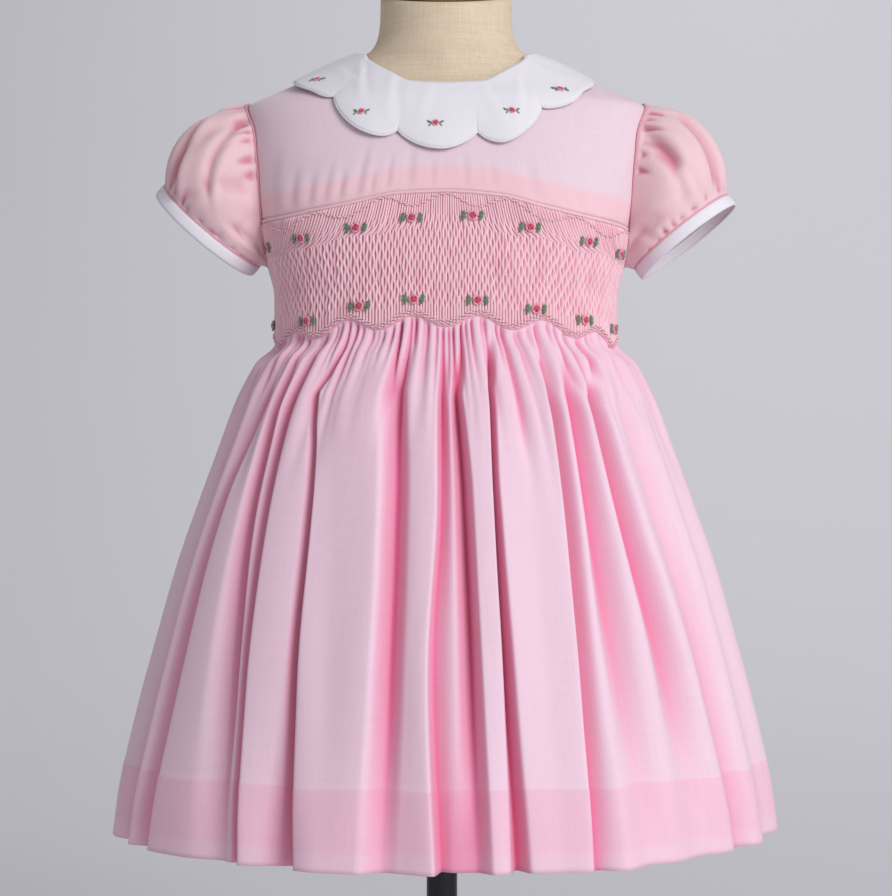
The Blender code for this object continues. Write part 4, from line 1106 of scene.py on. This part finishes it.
def sleeve_grid(cuff):
    """Middle of the sleeve: cubics from the armhole ring to the cuff ring, with gathers on both."""
    side = cuff["side"]
    psi = np.linspace(0, 2 * np.pi, SLEEVE_COLUMNS, endpoint=False)
    middle, reach = (SHOULDER_TIP + UNDERARM) / 2, (SHOULDER_TIP - UNDERARM) / 2
    height = middle + reach * np.cos(psi)
    y = side * ARMHOLE_DEPTH * np.sin(psi)
    width, front, back, power = (smooth(height, BODY[:, 0], BODY[:, k]) for k in (1, 2, 3, 4))
    depth = np.where(y < 0, front, back)
    x = width * (1 - np.clip(np.abs(y) / depth, 0, 1) ** power) ** (1 / power)
    lower_front = np.clip((600.0 - height) / 10.0, 0, 1) * (y < 0)
    start = body(np.arctan2(y, side * x), height, CLOTH + SEAM_GAP + 0.15 + 1.0 * lower_front)
    end, across, arm, face = cuff_ring(cuff, -CUFF_WIDTH / 2 - SEAM_GAP - CLOTH / 2, psi)
    chord = np.linalg.norm(end - start, axis=1)[:, None]
    leave = np.stack([side + 0 * y, np.sin(psi) * side * SLEEVE_SPREAD, 0 * y], -1)
    round_cuff = np.cos(psi)[:, None] * across - np.sin(psi)[:, None] * side * face
    arrive = arm - SLEEVE_PUFF * round_cuff
    w = np.linspace(0, 1, SLEEVE_ROWS)[:, None, None]
    grid = ((2 * w**3 - 3 * w**2 + 1) * start + (w**3 - 2 * w**2 + w) * chord * leave
            + (3 * w**2 - 2 * w**3) * end + (w**3 - w**2) * chord * arrive)
    return grid, psi, w[..., 0], chord


def sleeve_folds(name, cuff, psi, w, chord, seed):
    """Gathers as uneven bells round the cap and the cuff, and long soft folds between them."""
    pick = np.random.default_rng(seed)
    turns = np.degrees(psi)[None, :]
    short = np.minimum(chord[:, 0] / 30.0, 1.0)[None, :]
    total = np.zeros((len(w), len(psi)))
    for place in np.linspace(-85, 85, 15) + pick.normal(0, 2.5, 15):
        length = pick.uniform(0.16, 0.42)
        depth, width = pick.uniform(1.2, 2.6), pick.uniform(2.2, 3.6)
        total -= depth * bell(wrapped(turns - place), width) * (1 - ease(w, 0.05, length))
    for place in np.linspace(0, 360, 30, endpoint=False) + pick.normal(0, 3.0, 30):
        length = pick.uniform(0.10, 0.26)
        depth, width = pick.uniform(0.9, 2.2), pick.uniform(2.4, 4.0)
        total -= depth * bell(wrapped(turns - place), width) * ease(w, 1 - length, 1.0)
    for place in np.linspace(0, 360, 9, endpoint=False) + pick.normal(0, 8.0, 9):
        gap = wrapped(turns + pick.uniform(-14, 14) * (w - 0.5) - place)
        depth, width = pick.uniform(0.7, 1.8), pick.uniform(5.0, 8.0)
        total -= depth * bell(gap, width) * np.sin(np.pi * w) ** 0.7
    for turn0, w0, turn1, w1, width, depth in SLEEVE_CREASES[name]:
        along = np.clip((w - w0) / (w1 - w0), 0, 1)
        gap = wrapped(turns + cuff["side"] * (turn0 + (turn1 - turn0) * along))
        low, high = min(w0, w1), max(w0, w1)
        fade = ease(w, low - 0.12, low + 0.12) * (1 - ease(w, high - 0.15, high + 0.08))
        total -= depth * fade * (bell(gap, width) - 0.45 * bell(gap - 1.9 * width, width))
    return FOLD_DEPTH * total * short * ease(w, 0.0, 0.05) * (1 - ease(w, 0.97, 1.0))


def make_sleeve(name, cuff, seed):
    """A sleeve with the cords of its two seams, and its narrow white band."""
    grid, psi, w, chord = sleeve_grid(cuff)
    folds = sleeve_folds(name, cuff, psi, w, chord, seed)
    points = grid + normals(grid, True) * folds[..., None]
    # Painted fold shade: deeper colour where neighbouring cloth shuts out light.
    deep = ease(softened(closed_in(points, 18, closed=True), 1), 0.10, 0.5)
    seam = 1 - ease(w, 0.0, 0.035) + 0 * deep
    sleeve = shell("sleeve_%s_cloth" % name, points, 0.6, pink_sleeve, closed=True,
                   values={"deep": deep, "doubled": seam})
    finish_piece(sleeve, "sleeve_" + name, slot="pink_batiste")
    # The armhole welt and the cuff strip carry a fixed painted shade.
    for label, row, radius, cord_painted_shade in (("armhole_welt_", 0, 0.95, 0.5), ("cuff_strip_", -1, 0.85, 0.35)):
        ring = np.roll(points[row], SLEEVE_COLUMNS // 2, axis=0)
        cord(label + name, np.concatenate([ring, ring[:1]]), radius, (cuff["side"], 0, 0.2), 6, pink_sleeve,
             slot="pink_batiste", deep=cord_painted_shade, doubled=1.0)
    turn = np.linspace(0, 2 * np.pi, 144, endpoint=False)
    rings = np.array([cuff_ring(cuff, along, turn, grow)[0] for along, grow in CUFF_PROFILE])
    band = shell("cuff_%s_cloth" % name, rings, CLOTH, white_cloth, closed=True, values={"deep": 0.0})
    finish_piece(band, "cuff_" + name, slot="white_batiste")
    return sleeve, band, sheet_area(points, True), sheet_area(rings, True)


for number, (name, cuff) in enumerate(CUFFS.items()):
    sleeve, band, sleeve_area, band_area = make_sleeve(name, cuff, 31 + number)
    print(name, "sleeve area", round(sleeve_area, 4), "cuff area", round(band_area, 5))

# %% [markdown]
# The roses are bullion knots: short stitches wrapped with thread, laid as arcs round each other. The middle
# is deep pink and the outside pale. The leaves on the smocking are stacked short stitches across the
# reeds, and the ones on the collar are pairs of single stitches that open outwards.

# %% Roses and leaves
SMOCK_ROSES = ((-76.0, 575.4), (-56.8, 578.4), (-37.2, 583.0), (-15.4, 588.4), (12.0, 589.6), (35.0, 583.2),
               (56.2, 576.4), (73.0, 571.3), (-83.0, 528.2), (-56.6, 528.8), (-35.9, 536.8), (-14.0, 540.5),
               (13.6, 539.9), (37.1, 535.1), (56.6, 529.4), (74.5, 525.4))
COLLAR_ROSES = ((-70.7, 673.2), (-43.6, 651.9), (-6.1, 644.6), (35.9, 652.4), (59.3, 665.7))
SMOCK_OUT = 3.0
COLLAR_ROSE_OUT = 1.7
LEAF_STITCHES = ((-2.5, 1.5), (-1.3, 2.5), (-0.1, 3.0), (1.1, 2.6), (2.3, 1.6))


def stitch(place, start, end, thick, bow=0.25, turns=3.0):
    """A wrapped stitch in the plane of a spot: a low arch between two points, ridged by its wraps."""
    here, across, up, outward = place
    q = np.linspace(0, 1, 13)[:, None]
    flat = np.array(start) * (1 - q) + np.array(end) * q
    path = here + flat[:, :1] * across + flat[:, 1:] * up + bow * 4 * q * (1 - q) * outward
    q = q[:, 0]
    wraps = 1 + 0.10 * np.sin(2 * np.pi * turns * q)
    return tube(path, thick * (0.55 + 0.45 * np.sin(np.pi * q) ** 0.4) * wraps, outward, 6)


def petal(place, radius, start, sweep, thick, lift):
    """A bullion arc round a rose's middle, start and sweep in degrees."""
    here, across, up, outward = place
    a = np.radians(start + sweep * np.linspace(0, 1, 15))[:, None]
    q = np.linspace(0, 1, 15)[:, None]
    path = here + radius * (np.cos(a) * across + np.sin(a) * up) + (lift + 0.3 * np.sin(np.pi * q)) * outward
    wraps = 1 + 0.12 * np.sin(2 * np.pi * 5 * q[:, 0])
    return tube(path, thick * (0.5 + 0.5 * np.sin(np.pi * q[:, 0]) ** 0.4) * wraps, outward, 6)


def rose(place, size, turn):
    """Deep middle arcs and pale outer arcs of one rose."""
    deep = [petal(place, 0.55 * size, turn + k, 150, 0.62 * size, 0.55 * size) for k in (0, 180)]
    deep += [petal(place, 1.25 * size, turn + k, 110, 0.58 * size, 0.35 * size) for k in (60, 200, 320)]
    pale = [petal(place, 2.1 * size, turn + k, 95, 0.60 * size, 0.1) for k in (10, 100, 190, 280)]
    return deep, pale


def smock_leaf(place, side, tilt):
    """Five stacked stitches, longest in the middle, beside a rose."""
    made = []
    for step, (rise, length) in enumerate(LEAF_STITCHES):
        middle = side * 5.2 + tilt * rise * 0.25 + (0.25 if step % 2 else -0.25)
        made.append(stitch(place, (middle - length / 2, rise - 0.3), (middle + length / 2, rise + 0.3), 0.62))
    return made


def collar_leaf(place, side):
    """Two single stitches that open outwards beside a small rose."""
    near, far = side * 2.1, side * 4.9
    ends = (((near, -0.2), (far, 1.5), 0.55), ((near + side * 0.5, -0.4), (far - side * 1.0, -2.2), 0.5),
            ((near + side, 0.3), (far - side * 0.4, 0.4), 0.45))
    return [stitch(place, start, end, thick) for start, end, thick in ends]


def make_roses():
    """Every rose and leaf, joined by the colour of their thread."""
    pick = np.random.default_rng(4)
    deep, pale, green = [], [], []
    for degrees, height in SMOCK_ROSES:
        place = spot(degrees, height, SMOCK_OUT)
        a, b = rose(place, 1.15, pick.uniform(0, 360))
        deep += a
        pale += b
        green += smock_leaf(place, -1, pick.uniform(-1, 1)) + smock_leaf(place, 1, pick.uniform(-1, 1))
    for degrees, height in COLLAR_ROSES:
        place = spot(degrees, height, CLOTH + COLLAR_CLEAR + COLLAR_CLOTH + COLLAR_ROSE_OUT)
        a, b = rose(place, 0.85, pick.uniform(0, 360))
        deep += a
        pale += b
        green += collar_leaf(place, -1) + collar_leaf(place, 1)
    for name, shapes, finish in (("roses_deep", deep, rose_deep), ("roses_pale", pale, rose_pale),
                                 ("rose_leaves", green, leaf_green)):
        finish_piece(build(name, *joined(shapes), finish))
    return len(SMOCK_ROSES) + len(COLLAR_ROSES)


print("roses:", make_roses())

# %% [markdown]
# Rows of cable stitch hold the reeds in waves: one dips over the upper roses, and two rise under the lower
# ones. Each stitch crosses one reed, alternately a little higher and lower. The seams where the skirt is
# gathered in are fine cords round the waist.

# %% Waves of cable stitch and the waist seams
UPPER_WAVE_DROP = 5.2
UPPER_WAVE_DEPTH = 3.2
STITCH_TURN, STITCH_REACH = 84, 139
CABLE_STEP = 0.35


def cable_row(height_at, degrees, thick):
    """Short stitches end to end along a wave, stepping up and down by turns."""
    made = []
    heights = height_at(degrees)
    for k in range(len(degrees) - 1):
        step = CABLE_STEP if k % 2 else -CABLE_STEP
        middle = (heights[k] + heights[k + 1]) / 2 + step
        place = spot((degrees[k] + degrees[k + 1]) / 2, middle, REED_HIGH + 0.15)
        half = (girth(degrees[k + 1]) - girth(degrees[k])) * 0.5
        slope = (heights[k + 1] - heights[k]) / 2
        made.append(stitch(place, (-half, -slope), (half, slope), thick, 0.3, 1.0))
    return made


def upper_wave(degrees):
    """Wave under the yoke seam, low over each rose."""
    swing = UPPER_WAVE_DEPTH * np.cos(2 * np.pi * girth(degrees) / WAVE_PITCH)
    return through(YOKE_SEAM, degrees) - UPPER_WAVE_DROP + swing


fine_turns = np.linspace(-STITCH_TURN, STITCH_TURN, 337)
stitch_places = np.interp(np.linspace(-STITCH_REACH, STITCH_REACH, REEDS), girth(fine_turns), fine_turns)
waves = cable_row(upper_wave, stitch_places[4:-4], 0.5)
waves += cable_row(lambda d: wave_edge(d) + 0.8, stitch_places, 0.55)
waves += cable_row(lambda d: wave_edge(d) + 2.4, stitch_places, 0.45)
finish_piece(build("cable_stitches", *joined(waves), pink_thread))
front_turns = np.linspace(-86.5, 86.5, 360)
# The gathering seam and the back waist seam carry a fixed painted shade.
cord("gathering_seam", body(from_front(front_turns), wave_edge(front_turns), 1.3), 1.15, (0, 0, 1), 8,
     pink_smocked, slot="pink_smocking", deep=0.45)
cord("back_waist_seam", body(np.radians(np.linspace(0.2, 179.8, 240)), WAIST_SIDE - 0.3, 1.3), 1.0, (0, 0, 1),
     8, pink_yoke, slot="pink_batiste", deep=0.15, doubled=1.0)
print("cable stitches:", len(waves))

# %% [markdown]
# The form is a linen-covered torso with a turned wooden cap, on a steel pole and base. The torso is the
# solid's own rings with more columns. The cap, pole and base are profiles turned round an axis.

# %% Form and stand
NECK_RADIUS = 40.4
NECK_TOP_FRONT = 722.0
NECK_TILT = math.radians(15.0)
BASE_RADIUS = 120.0
BASE_THICK = 8.0
POLE_RADIUS = 9.5
POLE_X = -2.5
CAP_THICK = 9.0
HIP_ROWS = np.linspace(FORM_HIP[0, 0], FORM_HIP[-1, 0], 28)
NECK_ROWS = np.linspace(FORM_NECK[0, 0], FORM_NECK[-1, 0], 10)
CHEST_ROWS = (*np.linspace(506, 658, 30), *np.linspace(662, 694, 16))


def linen_cover(name):
    """Unbleached linen: uneven slubs along both threads."""
    f = Finish(name)
    up = f.noise(f.place(), 1.0, (900.0, 900.0, 30.0), 3.0, 0.6)
    across = f.noise(f.place(), 1.0, (40.0, 40.0, 1100.0), 3.0, 0.6)
    both = f.maths("MULTIPLY", f.maths("ADD", up, across), 0.5)
    return f.settle({"Base Color": f.blend(f.spread(both, 0.0, 1.0), (0.64, 0.50, 0.36), (0.80, 0.67, 0.51)),
                     "Roughness": f.spread(up, 0.8, 0.95), "Normal": f.bump(both, 0.4, 0.0004)})


def steel_paint(name):
    """Dark lacquered steel with faint marks."""
    f = Finish(name)
    marks = f.noise(f.place(), 60.0, (1, 1, 0.2), 4.0)
    return f.settle({"Base Color": f.blend(marks, (0.02, 0.02, 0.022), (0.06, 0.06, 0.065)),
                     "Roughness": f.spread(marks, 0.22, 0.38), "Metallic": 0.9})


def turned_wood(name):
    """Walnut: rings stretched along the grain."""
    f = Finish(name)
    grain = f.noise(f.place(), 14.0, (1.0, 9.0, 9.0), 5.0)
    return f.settle({"Base Color": f.blend(f.spread(grain, 0.0, 1.0), (0.16, 0.08, 0.04), (0.36, 0.20, 0.10)),
                     "Roughness": f.spread(grain, 0.35, 0.5)})


linen = linen_cover("linen_cover")
steel = steel_paint("dark_steel_paint")
wood = turned_wood("turned_wood")


def rounded(radius, low, high, fillet, steps=6):
    """Profile of a round plate from its top rim to its bottom rim, with rounded edges."""
    a = np.linspace(0, np.pi / 2, steps)
    top = np.stack([radius - fillet + fillet * np.sin(a), high - fillet + fillet * np.cos(a)], -1)
    bottom = np.stack([radius - fillet + fillet * np.cos(a), low + fillet - fillet * np.sin(a)], -1)
    return np.concatenate([top, bottom])


def turned(name, profile, centre, tilt, finish, node, slot):
    """A profile of (radius, height) rows, in mm, turned round an upright axis and tilted about X."""
    turn = np.linspace(0, 2 * np.pi, 96, endpoint=False)
    radius, height = profile[:, :1], profile[:, 1:]
    points = np.stack([radius * np.cos(turn), radius * np.sin(turn), height + 0 * turn], -1).reshape(-1, 3)
    c, s = math.cos(tilt), math.sin(tilt)
    points = points @ np.array([[1, 0, 0], [0, c, s], [0, -s, c]]) + np.array(centre)
    return finish_piece(build(name, points, capped(len(profile), len(turn)), finish), node, slot=slot)


def make_form():
    """The torso's rings, closed by its slanted neck top and flat underside."""
    columns = 168
    angle = np.linspace(0, 2 * np.pi, columns, endpoint=False) - np.pi / 2
    rings = [section(FORM_HIP, angle, h + 0 * angle) for h in HIP_ROWS]
    rings += [body(angle, height, -float(through(FORM_GAP, height))) for height in CHEST_ROWS]
    rings += [section(FORM_NECK, angle, h + 0 * angle) for h in NECK_ROWS]
    top = np.stack([NECK_RADIUS * np.cos(angle), NECK_RADIUS * np.sin(angle), 0 * angle], -1)
    top[:, 2] = NECK_TOP_FRONT + (top[:, 1] + NECK_RADIUS) * math.tan(NECK_TILT)
    rings += [rings[-1] + (top - rings[-1]) * s for s in (0.33, 0.66, 1.0)]
    grid = np.array(rings[::-1])
    return finish_piece(build("form_torso_cover", grid.reshape(-1, 3), capped(len(grid), columns), linen),
                        "form_torso", slot="linen")


make_form()
turned("base_plate", rounded(BASE_RADIUS, 0.0, BASE_THICK, 2.0),
       (POLE_X, 0, 0), 0.0, steel, "base", "dark_steel")
turned("pole_tube", rounded(POLE_RADIUS, BASE_THICK + SEAM_GAP, FORM_HIP[0, 0] - SEAM_GAP, 0.5),
       (POLE_X, 0, 0), 0.0, steel, "pole", "dark_steel")
cap_middle = NECK_TOP_FRONT + NECK_RADIUS * math.tan(NECK_TILT)
turned("neck_cap_turned", rounded(NECK_RADIUS + 1.0, SEAM_GAP, CAP_THICK + SEAM_GAP, 2.5), (0, 0, cap_middle),
       NECK_TILT, wood, "neck_cap", "wood")
print("form and stand made")

# %% [markdown]
# The buttons are small shell discs with a raised rim and two stitches of thread. A disc is turned from a
# short profile in its own plane, on the lapped edge.

# %% Buttons
BUTTON_HEIGHTS = (638.0, 604.0, 570.0, 536.0)
BUTTON_OUT = 2 * CLOTH + SEAM_GAP + 0.1 + 0.55
BUTTON_SIDES = 48
BUTTON_PROFILE = np.array((
    # radius, height over the cloth
    (0.001, 1.1),
    (2.6, 1.15),
    (3.6, 1.35),
    (4.3, 2.0),
    (4.9, 2.0),
    (5.5, 1.5),
    (5.5, 0.6),
    (5.1, 0.1),
    (0.001, 0.1),
))


def shell_button(name):
    """Mother of pearl: pale bands of colour under a clear gloss."""
    f = Finish(name)
    bands = f.noise(f.place(), 260.0, (1, 0.4, 1), 3.0)
    return f.settle({"Base Color": f.blend(f.spread(bands, 0.0, 1.0), (0.78, 0.74, 0.78), (0.92, 0.90, 0.88)),
                     "Roughness": f.spread(bands, 0.18, 0.32), "Coat Weight": 0.5})


pearl = shell_button("shell_button")


def make_button(number, height):
    """A button as turned rings on the lapped edge of the back; returns its two stitches."""
    here = body(np.array(np.pi / 2), np.array(height), BUTTON_OUT)
    above = body(np.array(np.pi / 2), np.array(height + 2.0), BUTTON_OUT)
    up = unit(above - here)
    across = np.array([-1.0, 0.0, 0.0])
    outward = unit(np.cross(across, up))
    turn = np.linspace(0, 2 * np.pi, BUTTON_SIDES, endpoint=False)
    radius, rise = BUTTON_PROFILE[:, 0][:, None, None], BUTTON_PROFILE[:, 1][:, None, None]
    ring = np.cos(turn)[None, :, None] * across + np.sin(turn)[None, :, None] * up
    points = (here + radius * ring + rise * outward).reshape(-1, 3)
    disc = build("button_%d_shell" % number, points, wall_triangles(len(BUTTON_PROFILE), BUTTON_SIDES), pearl)
    finish_piece(disc, "button_%d" % number, slot="pearl")
    place = (here + outward * 1.25, across, up, outward)
    return [stitch(place, (-1.2, y), (1.2, y), 0.35, 0.35, 2.0) for y in (-0.5, 0.5)]


button_threads = []
for number, height in enumerate(BUTTON_HEIGHTS, 1):
    button_threads += make_button(number, height)
finish_piece(build("button_stitches", *joined(button_threads), white_thread))
print("buttons:", len(BUTTON_HEIGHTS))

# %% [markdown]
# The studio is a pale sweep: a floor that curves up into the wall behind. One large soft lamp stands in
# front on the right, another lights the wall, and the room's own pale light fills the rest.

# %% Sweep, lamps and room light
FLOOR_REACH = 9.0
WALL_AT = 4.2
WALL_HIGH = 6.0
SWEEP_BEND = 2.2


def pale_paint(name, colour):
    """Matt painted board with the faintest mottling."""
    f = Finish(name)
    darker = tuple(0.985 * c for c in colour)
    return f.settle({"Base Color": f.blend(f.noise(f.place(), 3.0), darker, colour), "Roughness": 0.95})


def make_sweep():
    """Floor, then a quarter circle that rises from it, then the wall."""
    a = np.linspace(-np.pi / 2, 0, 40)
    bend = WALL_AT - SWEEP_BEND
    y = np.concatenate([[-FLOOR_REACH], bend + SWEEP_BEND * np.cos(a), [WALL_AT]])
    z = np.concatenate([[0.0], SWEEP_BEND + SWEEP_BEND * np.sin(a), [WALL_HIGH]])
    x = np.array([FLOOR_REACH, -FLOOR_REACH])
    points = np.stack(np.broadcast_arrays(x[None, :], y[:, None], z[:, None]), -1).reshape(-1, 3)
    faces = quads(len(y), 2)[0]
    build("studio_sweep", points / MM, faces, pale_paint("pale_board", (0.73, 0.72, 0.765)))


def lamp(name, place, aim, size, power):
    """A square soft lamp at a place, facing a point."""
    data = bpy.data.lights.new(name, "AREA")
    data.size = size
    data.energy = power
    item = bpy.data.objects.new(name, data)
    item.location = place
    way = np.array(place) - np.array(aim)
    item.rotation_euler = (math.atan2(math.hypot(way[0], way[1]), way[2]), 0.0, math.atan2(way[0], -way[1]))
    bpy.context.scene.collection.objects.link(item)


make_sweep()
lamp("key_lamp", (1.35, -1.75, 1.35), (0.0, 0.0, 0.45), 1.1, 34.5)
lamp("wall_lamp", (0.8, 1.9, 2.9), (0.5, 4.0, 0.9), 2.0, 30.0)
world = bpy.data.worlds.new("room_light")
world.use_nodes = True
background = world.node_tree.nodes["Background"]
background.inputs["Color"].default_value = (0.97, 0.97, 1.0, 1.0)
background.inputs["Strength"].default_value = 0.41
bpy.context.scene.world = world
print("studio ready")

# %% [markdown]
# At the end the number of triangles added is printed, in all and for each piece.

# %% Triangle counts
total = sum(count for name, count in BUILT)
print("triangles added:", total)
for name, count in BUILT:
    print("  ", name, count)
